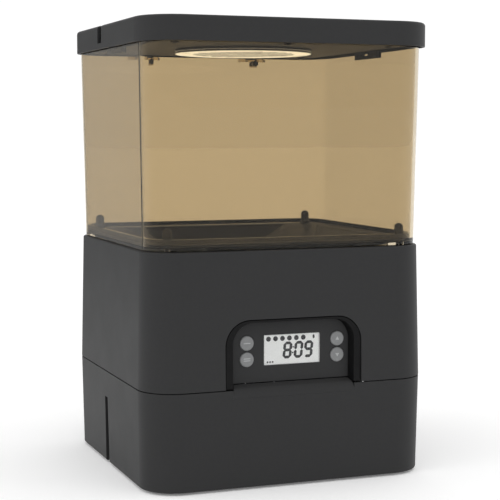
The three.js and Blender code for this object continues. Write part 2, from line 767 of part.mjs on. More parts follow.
const bracketTop = gearBottom - 1.2;
const bracketBottom = bracketTop - 2.6;
const motorTop = bracketBottom - gap;
const bracketPostX = gearRadius + 8.5;
const bracketPostY = 20;
const bracketFrontX = (chamberRadius - 2) / 2;
const bracketFrontY = (chamberRadius - 2) * Math.sqrt(3) / 2;
const bracketPosts = [[bracketFrontX, -bracketFrontY], [-bracketFrontX, -bracketFrontY],
  [bracketPostX, -bracketPostY], [-bracketPostX, -bracketPostY]];
const motorHoleX = 11;

function motorShaft() {
  return post(motorShaftRadius, 0, -driveDistance, motorTop + gap, gearBottom + gearWidth + 1.2, 16);
}

function gearMotor() {
  const y = -driveDistance;
  const low = motorTop - motorLength;
  const gearbox = post(motorRadius, 0, y, motorTop - 14, motorTop, 20);
  const can = post(motorRadius - 2.5, 0, y, low + 5, motorTop - 13, 20);
  const neck = post(4, 0, y, low + 2, low + 6, 16);
  const tabs = [-1, 1].map((side) => box(side * 5 - 1.2, side * 5 + 1.2, y + 7, y + 8, low, low + 6));
  const holes = [-1, 1].map((side) => post(1.5, side * motorHoleX, y, motorTop - 5, motorTop + 1, 12));
  return cut(join(gearbox, can, neck, ...tabs), ...holes);
}

function motorBracket() {
  const y = -driveDistance;
  const plate = box(-bracketPostX - 6, bracketPostX + 6, -bracketFrontY - 7, 7 - bracketPostY,
    bracketBottom, bracketTop);
  const posts = bracketPosts.map(([px, py]) => post(3.6, px, py, bracketBottom + 0.5,
    chamberFloor - gap, 16));
  const postHoles = bracketPosts.map(([px, py]) => post(1.3, px, py, bracketBottom - 1, chamberFloor, 12));
  const holes = [-1, 1].map((side) => post(1.5, side * motorHoleX, y, bracketBottom - 1,
    bracketTop + 1, 12));
  const shaftHole = post(motorShaftRadius + 1.6, 0, y, bracketBottom - 1, bracketTop + 1);
  return cut(join(plate, ...posts), ...postHoles, ...holes, shaftHole);
}

// ---- Feeding bay, chute and bowl --------------------------------------------------------------

const bayRear = rearY - baseTaper / 2 - 0.4;
const chuteTop = chamberFloor - gap;
const chuteBottom = bayTop - 9;
const chuteFront = outletFront - chuteWall;
const chuteRear = outletRear + chuteWall;

function feedingBay() {
  const low = baseFloor + gap;
  const outer = alongY(archShape(bayWidth / 2 + bayWall, low, bayTop + bayWall, bayRadius),
    bayFront - bayWall, bayRear);
  const inner = alongY(archShape(bayWidth / 2, low - 2, bayTop, bayRadius - bayWall), bayFront, bayRear + 2);
  const chuteHole = box(-outletHalf - chuteWall - gap, outletHalf + chuteWall + gap, chuteFront - gap,
    chuteRear + gap, bayTop - 1, bayTop + bayWall + 1);
  return cut(outer, inner, chuteHole);
}

function foodChute() {
  const outer = box(-outletHalf - chuteWall, outletHalf + chuteWall, chuteFront, chuteRear,
    chuteBottom, chuteTop);
  const inner = box(-outletHalf, outletHalf, outletFront, outletRear, chuteBottom - 1, chuteTop + 1);
  const slant = box(-outletHalf - 5, outletHalf + 5, -40, 40, -20, 0).rotateX(-0.5)
    .translate(0, chuteRear, chuteBottom);
  const flange = cut(
    box(-outletHalf - 5, outletHalf + 5, chuteFront - 0.6, chuteRear + 3,
      bayTop + bayWall + gap, bayTop + bayWall + 2),
    inner,
  );
  return join(cut(outer, inner, slant), flange);
}

const bowlMiddle = (bowlFront + bowlRear) / 2;
const bowlDepth = bowlRear - bowlFront;
const bowlBottom = baseFloor + gap;
const bowlTop = bowlBottom + bowlHeight;
const bowlSize = size(bowlWidth, bowlDepth, bowlCorner);

function feedingBowl() {
  const taper = 3;
  const lowSize = shrink(bowlSize, taper);
  const outer = leaningPrism(lowSize, bowlSize, bowlBottom, bowlTop);
  const inner = leaningPrism(shrink(lowSize, bowlWall), shrink(bowlSize, bowlWall),
    bowlBottom + 3, bowlTop + 0.01);
  const grip = alongY(archShape(18, bowlBottom + 18, bowlBottom + 30, 5), 0, 12)
    .translate(0, bowlDepth / 2 - 10, 0);
  return cut(outer, inner, grip).translate([0, bowlMiddle, 0]);
}

function bowlInsert() {
  const rimLow = bowlTop + gap;
  const basin = shrink(bowlSize, bowlWall + 1.4);
  const basinLow = shrink(basin, 6);
  const bottom = bowlBottom + 9;
  const outer = join(
    leaningPrism(basinLow, basin, bottom, rimLow + 0.5),
    straightPrism(shrink(bowlSize, 0.5), rimLow, rimLow + insertWall),
  );
  const inner = leaningPrism(shrink(basinLow, insertWall), shrink(basin, insertWall), bottom + insertWall,
    rimLow + insertWall + 0.01);
  return cut(outer, inner).translate([0, bowlMiddle, 0]);
}

// ---- Tank -------------------------------------------------------------------------------------

const hingeBoltZ = lidBottom - 4.2;

function tank() {
  const outer = leaningPrism(tankLowSize, tankHighSize, tankBottom, tankTop);
  const inner = leaningPrism(tankInsideAt(tankBottom + 2), tankInsideAt(tankTop),
    tankBottom + 2, tankTop + 0.01);
  const opening = straightPrism(deckOpening, tankBottom - 1, tankBottom + 4);
  const holes = fourCorners(postX, postY).map(([x, y]) => post(boltRadius + gap, x, y,
    tankBottom - 1, tankBottom + 4));
  const boltHoles = [-1, 1].map((side) => rod(1.8, side * hingeSpread, hingeBoltZ, rearY - 9, rearY + 2));
  return cut(outer, inner, opening, ...holes, ...boltHoles);
}

const tankRear = tankInsideAt(hingeBoltZ).depth / 2 + tankWall;
const leafFront = tankRear + 0.5;
const leafHalf = 11;
const leafThickness = 2;
const tongueHalf = 3.2;
const lidKnuckleHalf = 4.6;
const pinRadius = 1.2;

function hingeLeaf(side) {
  const x = side * hingeSpread;
  const leafTop = lidBottom - 0.8;
  const armLow = leafTop - leafThickness;
  const leafBack = leafFront + leafThickness;
  const tongueLow = hingeBoltZ - tongueHalf;
  const tongue = box(x - tongueHalf, x + tongueHalf, leafFront, leafBack, tongueLow, leafTop);
  const strip = box(x - leafHalf, x + leafHalf, leafFront, leafBack, armLow, leafTop);
  const arms = [-1, 1].flatMap((end) => {
    const inner = x + end * (lidKnuckleHalf + gap);
    const outer = x + end * leafHalf;
    const left = Math.min(inner, outer);
    const right = Math.max(inner, outer);
    return [
      box(left, right, leafFront + 1, hingeY + hingeRadius, armLow, leafTop),
      box(left, right, hingeY - hingeRadius + 0.9, hingeY + hingeRadius, armLow, hingeZ),
      crossPin(hingeRadius, hingeY, hingeZ, left, right),
    ];
  });
  const skirtRoom = box(x - 20, x + 20, 0, lidRear + 0.6, leafTop, lidTop);
  const pinHole = crossPin(pinRadius + gap, hingeY, hingeZ, x - 20, x + 20);
  const boltHole = rod(1.8, x, hingeBoltZ, leafFront - 1, leafFront + 3, 16);
  const swing = box(x - lidKnuckleHalf - gap, x + lidKnuckleHalf + gap, leafBack, rearY + 20,
    lidBottom - 8, lidTop);
  return cut(cut(join(tongue, strip, ...arms), swing, skirtRoom), pinHole, boltHole);
}

function hingePin(side) {
  const reach = leafHalf - 0.6;
  return crossPin(pinRadius, hingeY, hingeZ, side * hingeSpread - reach, side * hingeSpread + reach, 12);
}

// bolt with a pan head outside and a nut inside the tank wall
function hingeBolt(side) {
  const inside = tankRear - tankWall - gap;
  const x = side * hingeSpread;
  return join(
    rod(2.3, x, hingeBoltZ, leafFront + leafThickness + gap, leafFront + 3.6, 16),
    rod(1.4, x, hingeBoltZ, inside - 2.8, leafFront + 3, 12),
    rod(2.7, x, hingeBoltZ, inside - 2.4, inside, 6),
  );
}

// ---- Lid --------------------------------------------------------------------------------------

const latchY = 12;
const latchSlotWidth = 10.6;
const latchLegLength = 42;
const latchTravel = 1.8;
const latchPadDepth = 2.4;
const latchPadThickness = 2.6;
const lidInside = size(lidWidth - 2 * lidWall, lidDepth - 2 * lidWall, lidCorner - lidWall);
const lidCeiling = lidTop - 2.4;
const plugSideGap = 10.5;
const plugEndGap = 3.8;
const tankMouth = tankInsideAt(tankTop);
const plugSize = size(tankMouth.width - 2 * plugSideGap, tankMouth.depth - 2 * plugEndGap, 18);
const sealThickness = 2;
const linerBottom = lidBottom + 0.8;
const linerRim = tankTop + 0.4;
const linerTop = linerRim + 1.6;
const cupRadius = 48;
const coverRadius = 53.7;
const screwX = plugSize.width / 2 - 12.8;
const screwY = plugSize.depth / 2 - 15.5;
const screwMiddleY = plugSize.depth / 2 - 9.5;
const screwPlaces = [...fourCorners(screwX, screwY), [0, screwMiddleY], [0, -screwMiddleY]];

function shiftForward(shape) {
  return shape.translate([0, -lidForward, 0]);
}

function lidShell() {
  const outline = size(lidWidth, lidDepth, lidCorner);
  const edgeTop = shrink(outline, lidEdge);
  const skirt = straightPrism(outline, lidBottom, lidTop - lidEdge);
  const edge = leaningPrism(outline, edgeTop, lidTop - lidEdge, lidTop);
  const inner = straightPrism(lidInside, lidBottom - 1, lidCeiling);
  const bosses = screwPlaces.map(([x, y]) => post(4, x, y, linerTop + gap, lidCeiling + 1, 16));
  const pilots = screwPlaces.map(([x, y]) => post(1.6, x, y, linerTop - 1, lidCeiling - 0.6, 12));
  const slots = [-1, 1].map((side) => {
    const inside = side * (lidWidth / 2 - latchPadDepth - latchPadThickness - latchTravel - 2 * gap);
    const outside = side * (lidWidth / 2 + 2);
    return box(Math.min(inside, outside), Math.max(inside, outside), latchY + lidForward - latchSlotWidth / 2,
      latchY + lidForward + latchSlotWidth / 2, lidBottom + 4.4, lidTop + 1);
  });
  const shell = shiftForward(cut(join(cut(join(skirt, edge), inner), ...bosses), ...pilots, ...slots));
  const knuckles = [-1, 1].flatMap((side) => {
    const x = side * hingeSpread;
    return [
      crossPin(hingeRadius, hingeY, hingeZ, x - lidKnuckleHalf, x + lidKnuckleHalf),
      box(x - lidKnuckleHalf, x + lidKnuckleHalf, lidRear - 1, hingeY, hingeZ, hingeZ + hingeRadius),
    ];
  });
  const pinHole = crossPin(pinRadius + gap, hingeY, hingeZ, -bodyWidth / 2, bodyWidth / 2);
  return cut(join(shell, ...knuckles), pinHole);
}

function latchWell(side) {
  const inside = side * (plugSize.width / 2 + sealThickness + 0.2);
  const outside = side * lidWidth / 2;
  return box(Math.min(inside, outside), Math.max(inside, outside),
    latchY - latchLegLength - 1, latchY + latchSlotWidth, lidBottom - 5, lidTop);
}

function lidLiner() {
  const plug = straightPrism(plugSize, linerBottom, linerRim + 0.2);
  const flange = shiftForward(solid(straightPrism(shrink(lidInside, 0.4), linerRim, linerTop)));
  const cupHole = post(cupRadius + 2, 0, 0, linerBottom - 1, linerTop + 1, 30);
  const holes = screwPlaces.map(([x, y]) => post(1.6, x, y - lidForward, linerBottom - 1, linerTop + 1, 12));
  const hollowX = plugSize.width / 2 - 20.8;
  const hollowY = plugSize.depth / 2 - 37.5;
  const hollows = [-hollowX, hollowX].map((x) => box(x - 14, x + 14, -hollowY, hollowY,
    linerBottom + 1.6, linerTop + 1));
  return cut(join(plug, flange), cupHole, ...holes, ...hollows, latchWell(-1), latchWell(1));
}

function lidSeal() {
  const outer = size(plugSize.width + 2 * sealThickness, plugSize.depth + 2 * sealThickness,
    plugSize.corner + sealThickness);
  const inner = shrink(outer, sealThickness - gap);
  return cut(straightPrism(outer, linerBottom + 0.4, linerRim - gap),
    straightPrism(inner, linerBottom - 1, linerRim + 1));
}

// finger pad in the lid's side slot, joined over the tank's rim to a windowed leg inside the tank
function lidLatch(side) {
  const padOut = lidWidth / 2 - latchPadDepth;
  const legOut = tankInsideAt(tankTop).width / 2 - 1.8;
  const legIn = legOut - 3.6;
  const bridgeLow = tankTop + 1;
  const half = latchSlotWidth / 2 - 0.5;
  const pad = box(padOut - latchPadThickness, padOut, latchY - half, latchY + half, bridgeLow, lidTop - 1.2);
  const bridge = box(legIn, padOut - 1, latchY - half, latchY + half, bridgeLow, bridgeLow + 2.4);
  const leg = box(legIn, legOut, latchY - latchLegLength, latchY,
    lidBottom - 4.6, bridgeLow + 2.4);
  const window = box(legIn - 1, legOut + 1, latchY - 24, latchY - 12, lidBottom - 2, lidBottom + 2.4);
  const ribs = [0, 1, 2].map((i) => box(padOut - 0.5, padOut + 1, latchY - half - 1, latchY + half + 1,
    bridgeLow + 4 + i * 2.6, bridgeLow + 4.9 + i * 2.6));
  const latch = cut(join(pad, bridge, leg), window, ...ribs);
  return side > 0 ? latch : latch.mirror([1, 0, 0]);
}

function desiccantCup() {
  const low = linerBottom - gap - 1.2;
  const wall = 1.6;
  const top = lidCeiling - 1.6;
  const outer = turned([[0, low], [coverRadius, low], [coverRadius, low + 1.2], [cupRadius + wall, low + 1.2],
    [cupRadius + wall, top], [0, top]], 30);
  const inner = post(cupRadius, 0, 0, low - 1, top - wall, 30);
  return cut(outer, inner);
}

function desiccantPack() {
  const low = linerBottom + 1.6;
  const high = lidCeiling - 4;
  return turned([[0, low], [cupRadius - 5, low], [cupRadius - 2.5, low + 2], [cupRadius - 2.5, high - 2],
    [cupRadius - 5, high], [0, high]], 20);
}

// vented round cover that twists onto the cup
function desiccantCover() {
  const top = linerBottom - gap - 1.2 - gap;
  const disc = turned([[0, top - 1.7], [coverRadius - 1.4, top - 1.7], [coverRadius, top - 0.6],
    [coverRadius, top], [0, top]], 30);
  const ring = cut(post(cupRadius - gap - 0.2, 0, 0, top - 0.5, top + 2.6, 30),
    post(cupRadius - 2, 0, 0, top - 1, top + 4, 30));
  const vents = [];
  for (let i = -3; i <= 3; i += 1) {
    const half = Math.sqrt(40 * 40 - (i * 10) ** 2);
    vents.push(box(-half, half, i * 10 - 1.5, i * 10 + 1.5, top - 4, top + 1));
  }
  const turnedVents = vents.map((vent) => vent.rotateZ(-0.7));
  return cut(join(disc, ring), ...turnedVents);
}

// ---- Assembly ---------------------------------------------------------------------------------

part('base', base(), 'charcoal');
const cornerNames = ['rear_right', 'rear_left', 'front_left', 'front_right'];
fourCorners(footX, footY).forEach(([x, y], i) => part(`foot_${cornerNames[i]}`, foot(x, y), 'rubber'));
part('power_inlet', powerInlet(), 'blackPlastic');
part('battery_tray', batteryTray(), 'blackPlastic');
part('battery_door', batteryDoor(), 'charcoal');
part('door_screw', doorScrew(), 'steel');
for (let i = 0; i < cellCount; i += 1) {
  part(`battery_cell_${i + 1}`, cell(i), 'cell');
}

part('housing', housing(), 'charcoal');
part('display_frame', displayFrame(), 'blackPlastic');
part('display_panel', displayPanel(), 'charcoal');
part('lcd_window', lcdWindow(), 'clear');
part('lcd_module', lcdModule(), 'lcd');
buttonPlaces.forEach(([name, x, z]) => part(name, button(x, z), 'greyButton'));
part('button_pad_left', buttonPad(-1), 'silicone');
part('button_pad_right', buttonPad(1), 'silicone');
part('control_board', controlBoard(), 'board');

part('hopper_floor', hopperFloor(), 'charcoal');
part('tank_seal', tankSeal(), 'rubber');
fourCorners(postX, postY).forEach(([x, y], i) => {
  part(`tank_screw_${cornerNames[i]}`, tankScrew(x, y), 'blackPlastic');
});
part('rotor_chamber', rotorChamber(), 'charcoal');
part('outlet_shield', outletShield(), 'blackPlastic');
part('portion_rotor', portionRotor(), 'silicone');
part('stirrer', stirrer(), 'blackPlastic');
part('rotor_shaft', rotorShaft(), 'steel');
part('shaft_bushing', shaftBushing(), 'brass');
part('drive_gear', driveGear(), 'whiteNylon');
part('pinion', pinion(), 'brass');
part('motor_shaft', motorShaft(), 'steel');
part('gear_motor', gearMotor(), 'steel');
part('motor_bracket', motorBracket(), 'blackPlastic');

part('feeding_bay', feedingBay(), 'charcoal');
part('food_chute', foodChute(), 'charcoal');
part('feeding_bowl', feedingBowl(), 'blackPlastic');
part('bowl_insert', bowlInsert(), 'steel');

part('tank', tank(), 'smokedAmber');
for (const [name, side] of [['left', -1], ['right', 1]]) {
  part(`hinge_leaf_${name}`, hingeLeaf(side), 'smokedAmber');
  part(`hinge_pin_${name}`, hingePin(side), 'steel');
  part(`hinge_bolt_${name}`, hingeBolt(side), 'blackPlastic');
}

part('lid_shell', lidShell(), 'charcoal');
part('lid_liner', lidLiner(), 'charcoal');
part('lid_seal', lidSeal(), 'rubber');
part('lid_latch_left', lidLatch(-1), 'blackPlastic');
part('lid_latch_right', lidLatch(1), 'blackPlastic');
part('desiccant_cup', desiccantCup(), 'blackPlastic');
part('desiccant_pack', desiccantPack(), 'paper');
part('desiccant_cover', desiccantCover(), 'paleCover');

export default feeder;
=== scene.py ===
import json
import math

import bmesh
import bpy
from mathutils import Matrix, Vector


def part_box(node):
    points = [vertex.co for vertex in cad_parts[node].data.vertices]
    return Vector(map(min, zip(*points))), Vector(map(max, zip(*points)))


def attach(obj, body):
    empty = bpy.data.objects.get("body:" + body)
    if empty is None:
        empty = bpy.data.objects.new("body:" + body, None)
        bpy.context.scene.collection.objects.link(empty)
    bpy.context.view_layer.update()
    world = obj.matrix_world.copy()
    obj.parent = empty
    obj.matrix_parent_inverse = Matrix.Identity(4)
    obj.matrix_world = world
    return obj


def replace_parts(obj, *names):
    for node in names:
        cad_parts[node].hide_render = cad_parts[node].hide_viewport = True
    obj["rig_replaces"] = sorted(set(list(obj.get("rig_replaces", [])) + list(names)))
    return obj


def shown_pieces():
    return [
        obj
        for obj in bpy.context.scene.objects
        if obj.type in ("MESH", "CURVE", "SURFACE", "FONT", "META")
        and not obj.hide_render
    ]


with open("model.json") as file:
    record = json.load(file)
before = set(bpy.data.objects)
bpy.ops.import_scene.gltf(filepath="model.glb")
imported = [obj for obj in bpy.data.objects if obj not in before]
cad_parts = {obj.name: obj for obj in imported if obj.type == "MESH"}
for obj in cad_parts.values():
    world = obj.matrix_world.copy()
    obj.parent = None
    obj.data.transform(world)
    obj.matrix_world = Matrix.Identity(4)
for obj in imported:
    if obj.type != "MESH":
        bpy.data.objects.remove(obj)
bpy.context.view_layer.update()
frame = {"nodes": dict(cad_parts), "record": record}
mm = 0.001  # sizes below are in millimetres
corners = ("rear_right", "rear_left", "front_left", "front_right")
smoothAngle = 33


def boxOf(node):
    low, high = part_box(node)
    return low / mm, high / mm


def middleOf(node):
    low, high = boxOf(node)
    return [(a + b) / 2 for a, b in zip(low, high)]


bodyMiddle = middleOf("housing")[1]


def block(low, high):
    bm = bmesh.new()
    bmesh.ops.create_cube(bm, size=1)
    low, high = Vector(low) * mm, Vector(high) * mm
    bmesh.ops.scale(bm, vec=high - low, verts=bm.verts)
    bmesh.ops.translate(bm, vec=(low + high) / 2, verts=bm.verts)
    return bm


def edgesAlong(bm, axis, share=0.98):
    return [e for e in bm.edges if abs((e.verts[0].co - e.verts[1].co)[axis]) > share * e.calc_length()]


def edgesAt(bm, axis, place, near=1e-6):
    return [e for e in bm.edges if all(abs(v.co[axis] - place * mm) < near for v in e.verts)]


def roundEdges(bm, edges, radius, segments=4):
    bmesh.ops.bevel(bm, geom=edges, offset=radius * mm, segments=segments, profile=0.5,
                    affect="EDGES", material=-1, clamp_overlap=True)


def roundedBlock(low, high, corner, segments=14, topEdge=0, bottomEdge=0):
    bm = block(low, high)
    roundEdges(bm, edgesAlong(bm, 2), corner, segments)
    if topEdge:
        roundEdges(bm, edgesAt(bm, 2, high[2]), topEdge)
    if bottomEdge:
        roundEdges(bm, edgesAt(bm, 2, low[2]), bottomEdge)
    return bm


def centred(width, depth, low, high, middle=None):
    middle = bodyMiddle if middle is None else middle
    return (-width / 2, middle - depth / 2, low), (width / 2, middle + depth / 2, high)


def leaningBlock(width, depth, topWidth, topDepth, low, high, corner, middle=None, **edges):
    middle = bodyMiddle if middle is None else middle
    bm = roundedBlock(*centred(width, depth, low, high, middle), corner, **edges)
    for v in bm.verts:
        share = (v.co.z / mm - low) / (high - low)  # 0 at the foot, 1 at the top
        v.co.x *= 1 + (topWidth / width - 1) * share
        v.co.y = middle * mm + (v.co.y - middle * mm) * (1 + (topDepth / depth - 1) * share)
    return bm


def archBlock(low, high, radius, segments=14):  # a block with its two upper edges rounded
    bm = block(low, high)
    upper = [e for e in edgesAlong(bm, 1) if e.verts[0].co.z > (low[2] + high[2]) / 2 * mm]
    roundEdges(bm, upper, radius, segments)
    return bm


def turned(profile, centre=(0, 0, 0), steps=40, direction=None):  # profile: (radius, height) points
    bm = bmesh.new()
    verts = [bm.verts.new((r * mm, 0, z * mm)) for r, z in profile]
    edges = [bm.edges.new(pair) for pair in zip(verts, verts[1:])]
    bmesh.ops.spin(bm, geom=verts + edges, axis=(0, 0, 1), cent=(0, 0, 0), angle=2 * math.pi,
                   steps=steps, use_merge=True)
    bmesh.ops.remove_doubles(bm, verts=bm.verts, dist=1e-6)
    bmesh.ops.recalc_face_normals(bm, faces=bm.faces)
    if direction is not None:
        turn = Vector((0, 0, 1)).rotation_difference(Vector(direction)).to_matrix()
        bmesh.ops.rotate(bm, cent=(0, 0, 0), matrix=turn, verts=bm.verts)
    bmesh.ops.translate(bm, vec=Vector(centre) * mm, verts=bm.verts)
    return bm


def pushForward(bm, outline, depth):  # a flat outline made solid towards the front
    face = bm.faces.new([bm.verts.new(Vector(point) * mm) for point in outline])
    pushed = bmesh.ops.extrude_face_region(bm, geom=[face])["geom"]
    verts = [g for g in pushed if isinstance(g, bmesh.types.BMVert)]
    bmesh.ops.translate(bm, vec=(0, -depth * mm, 0), verts=verts)


def crossSlot(x, y, low, high, reach, half=0.35):  # two crossed slots in a screw head
    return [block((x - reach, y - half, low), (x + reach, y + half, high)),
            block((x - half, y - reach, low), (x + half, y + reach, high))]


def addMesh(bm, other):
    mesh = bpy.data.meshes.new("joined")
    other.to_mesh(mesh)
    other.free()
    bm.from_mesh(mesh)
    bpy.data.meshes.remove(mesh)


def cylinder(radius, start, end, steps=32):
    start, end = Vector(start), Vector(end)
    length = (end - start).length
    return turned([(0, 0), (radius, 0), (radius, length), (0, length)], start, steps, end - start)


def makeObject(name, bm):
    mesh = bpy.data.meshes.new(name)
    bm.to_mesh(mesh)
    bm.free()
    made = bpy.data.objects.new(name, mesh)
    bpy.context.scene.collection.objects.link(made)
    return made


def settle(piece):
    shape = piece.evaluated_get(bpy.context.evaluated_depsgraph_get())
    mesh = bpy.data.meshes.new_from_object(shape)
    piece.modifiers.clear()
    piece.data = mesh


def combine(piece, tools, operation):
    for tool in tools:
        cutter = makeObject("tool", tool)
        modifier = piece.modifiers.new("combine", "BOOLEAN")
        modifier.object = cutter
        modifier.operation = operation
        modifier.solver = "EXACT"
        settle(piece)
        bpy.data.objects.remove(cutter)


def smoothShading(piece):
    piece.data.polygons.foreach_set("use_smooth", [True] * len(piece.data.polygons))
    piece.data.set_sharp_from_angle(angle=math.radians(smoothAngle))
    weighted = piece.modifiers.new("flat faces stay flat", "WEIGHTED_NORMAL")
    weighted.keep_sharp = True


def softEdges(piece, width, segments=2, angle=35):
    bevel = piece.modifiers.new("soft edges", "BEVEL")
    bevel.width = width * mm
    bevel.segments = segments
    bevel.limit_method = "ANGLE"
    bevel.angle_limit = math.radians(angle)
    bevel.miter_outer = "MITER_ARC"
    bevel.use_clamp_overlap = True


def buildPiece(name, bm, body, slot, cuts=(), joins=(), edge=0, material=None):
    piece = makeObject(name, bm)
    combine(piece, joins, "UNION")
    combine(piece, cuts, "DIFFERENCE")
    if edge:
        softEdges(piece, edge)
        settle(piece)
    smoothShading(piece)
    piece.data.materials.clear()
    piece.data.materials.append(material or finishes[slot])
    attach(piece, body)
    return piece


def addNode(tree, kind, inputs=None, **settings):
    node = tree.nodes.new("ShaderNode" + kind)
    for key, value in settings.items():
        setattr(node, key, value)
    for key, value in (inputs or {}).items():
        if isinstance(value, bpy.types.NodeSocket):
            tree.links.new(value, node.inputs[key])
        else:
            node.inputs[key].default_value = value
    return node


def newGroup(name, inputs, outputs):
    tree = bpy.data.node_groups.new(name, "ShaderNodeTree")
    for label, value in inputs.items():
        kind = "NodeSocketVector" if isinstance(value, tuple) else "NodeSocketFloat"
        tree.interface.new_socket(name=label, in_out="INPUT", socket_type=kind).default_value = value
    for label in outputs:
        tree.interface.new_socket(name=label, in_out="OUTPUT", socket_type="NodeSocketFloat")
    return tree, tree.nodes.new("NodeGroupInput").outputs, tree.nodes.new("NodeGroupOutput").inputs


def noise(tree, vector, scale, detail=3.0, roughness=0.55):
    return addNode(tree, "TexNoise", {"Vector": vector, "Scale": scale, "Detail": detail,
                                      "Roughness": roughness}).outputs["Fac"]


def ranged(tree, value, low, high, toLow=0.0, toHigh=1.0):
    return addNode(tree, "MapRange", {"Value": value, "From Min": low, "From Max": high,
                                      "To Min": toLow, "To Max": toHigh}).outputs["Result"]


def times(tree, a, b, operation="MULTIPLY"):
    return addNode(tree, "Math", {0: a, 1: b}, operation=operation).outputs[0]


scales = {"pebbles": 1600.0, "fine": 2600.0, "tone": 420.0, "patch": 38.0, "rubbed": 260.0, "specks": 900.0,
          "film": 24.0}
bumpDepth = 0.0002
dustColor = (0.32, 0.31, 0.29)


def grainGroup():  # moulded texture: pebbled height, patchy tone and roughness
    tree, given, put = newGroup("moulded grain", {"Scale": 1.0, "Stretch": (1.0, 1.0, 1.0)},
                                ["Height", "Tone", "Patch"])
    place = addNode(tree, "TexCoord").outputs["Object"]
    place = addNode(tree, "VectorMath", {0: place, 1: given["Stretch"]}, operation="MULTIPLY").outputs[0]
    scaled = addNode(tree, "VectorMath", {0: place, "Scale": given["Scale"]}, operation="SCALE").outputs[0]
    pebbles = addNode(tree, "TexVoronoi", {"Vector": scaled, "Scale": scales["pebbles"], "Randomness": 1.0},
                      feature="SMOOTH_F1").outputs["Distance"]
    fine = noise(tree, scaled, scales["fine"], 2.0)
    tree.links.new(times(tree, pebbles, fine, "ADD"), put["Height"])
    tree.links.new(ranged(tree, noise(tree, scaled, scales["tone"], 4.0), 0.3, 0.7), put["Tone"])
    tree.links.new(ranged(tree, noise(tree, scaled, scales["patch"], 3.0), 0.32, 0.68), put["Patch"])
    return tree


def wearAndHighlightGroup():  # 1 on outer edges, broken up by noise: rubbed wear on most finishes, a painted highlight on the hopper and the darkened display surround
    tree, given, put = newGroup("edge wear", {"Radius": 0.0008, "Amount": 1.0}, ["Mask"])
    place = addNode(tree, "TexCoord").outputs["Object"]
    rounded = addNode(tree, "Bevel", {"Radius": given["Radius"]}, samples=4).outputs["Normal"]
    normal = addNode(tree, "NewGeometry").outputs["True Normal"]
    turn = addNode(tree, "VectorMath", {0: rounded, 1: normal}, operation="DOT_PRODUCT").outputs["Value"]
    edge = ranged(tree, turn, 0.995, 0.80)
    broken = ranged(tree, noise(tree, place, scales["rubbed"], 5.0, 0.7), 0.42, 0.62)
    tree.links.new(times(tree, times(tree, edge, broken), given["Amount"]), put["Mask"])
    return tree


def dustGroup():  # light dust on faces that look up
    tree, given, put = newGroup("settled dust", {"Amount": 1.0}, ["Mask"])
    place = addNode(tree, "TexCoord").outputs["Object"]
    normal = addNode(tree, "NewGeometry").outputs["Normal"]
    up = addNode(tree, "SeparateXYZ", {0: normal}).outputs["Z"]
    specks = ranged(tree, noise(tree, place, scales["specks"], 4.0, 0.8), 0.56, 0.72)
    film = ranged(tree, noise(tree, place, scales["film"], 4.0), 0.35, 0.75, 0.15, 0.6)
    both = times(tree, specks, film, "ADD")
    tree.links.new(times(tree, times(tree, ranged(tree, up, 0.6, 1.0), both), given["Amount"]), put["Mask"])
    return tree


grain, wearAndHighlight, dust = grainGroup(), wearAndHighlightGroup(), dustGroup()


def useGroup(tree, group, **values):
    node = tree.nodes.new("ShaderNodeGroup")
    node.node_tree = group
    for key, value in values.items():
        node.inputs[key].default_value = value
    return node.outputs


def mixColor(tree, share, a, b):
    node = tree.nodes.new("ShaderNodeMix")
    node.data_type = "RGBA"
    for index, value in ((0, share), (6, a), (7, b)):  # 6 and 7 are the color inputs
        if isinstance(value, bpy.types.NodeSocket):
            tree.links.new(value, node.inputs[index])
        else:
            node.inputs[index].default_value = value if index == 0 else (*value, 1.0)
    return node.outputs[2]


def newMaterial(name):
    material = bpy.data.materials.new(name)
    material.use_nodes = True
    tree = material.node_tree
    return material, tree, tree.nodes["Principled BSDF"]


def sideFacing(tree):  # 1 on upright faces and 0 on level ones
    normal = addNode(tree, "NewGeometry").outputs["Normal"]
    up = addNode(tree, "SeparateXYZ", {0: normal}).outputs["Z"]
    level = addNode(tree, "Math", {0: up}, operation="ABSOLUTE").outputs[0]
    return ranged(tree, level, 0.6, 0.95, 1.0, 0.0)


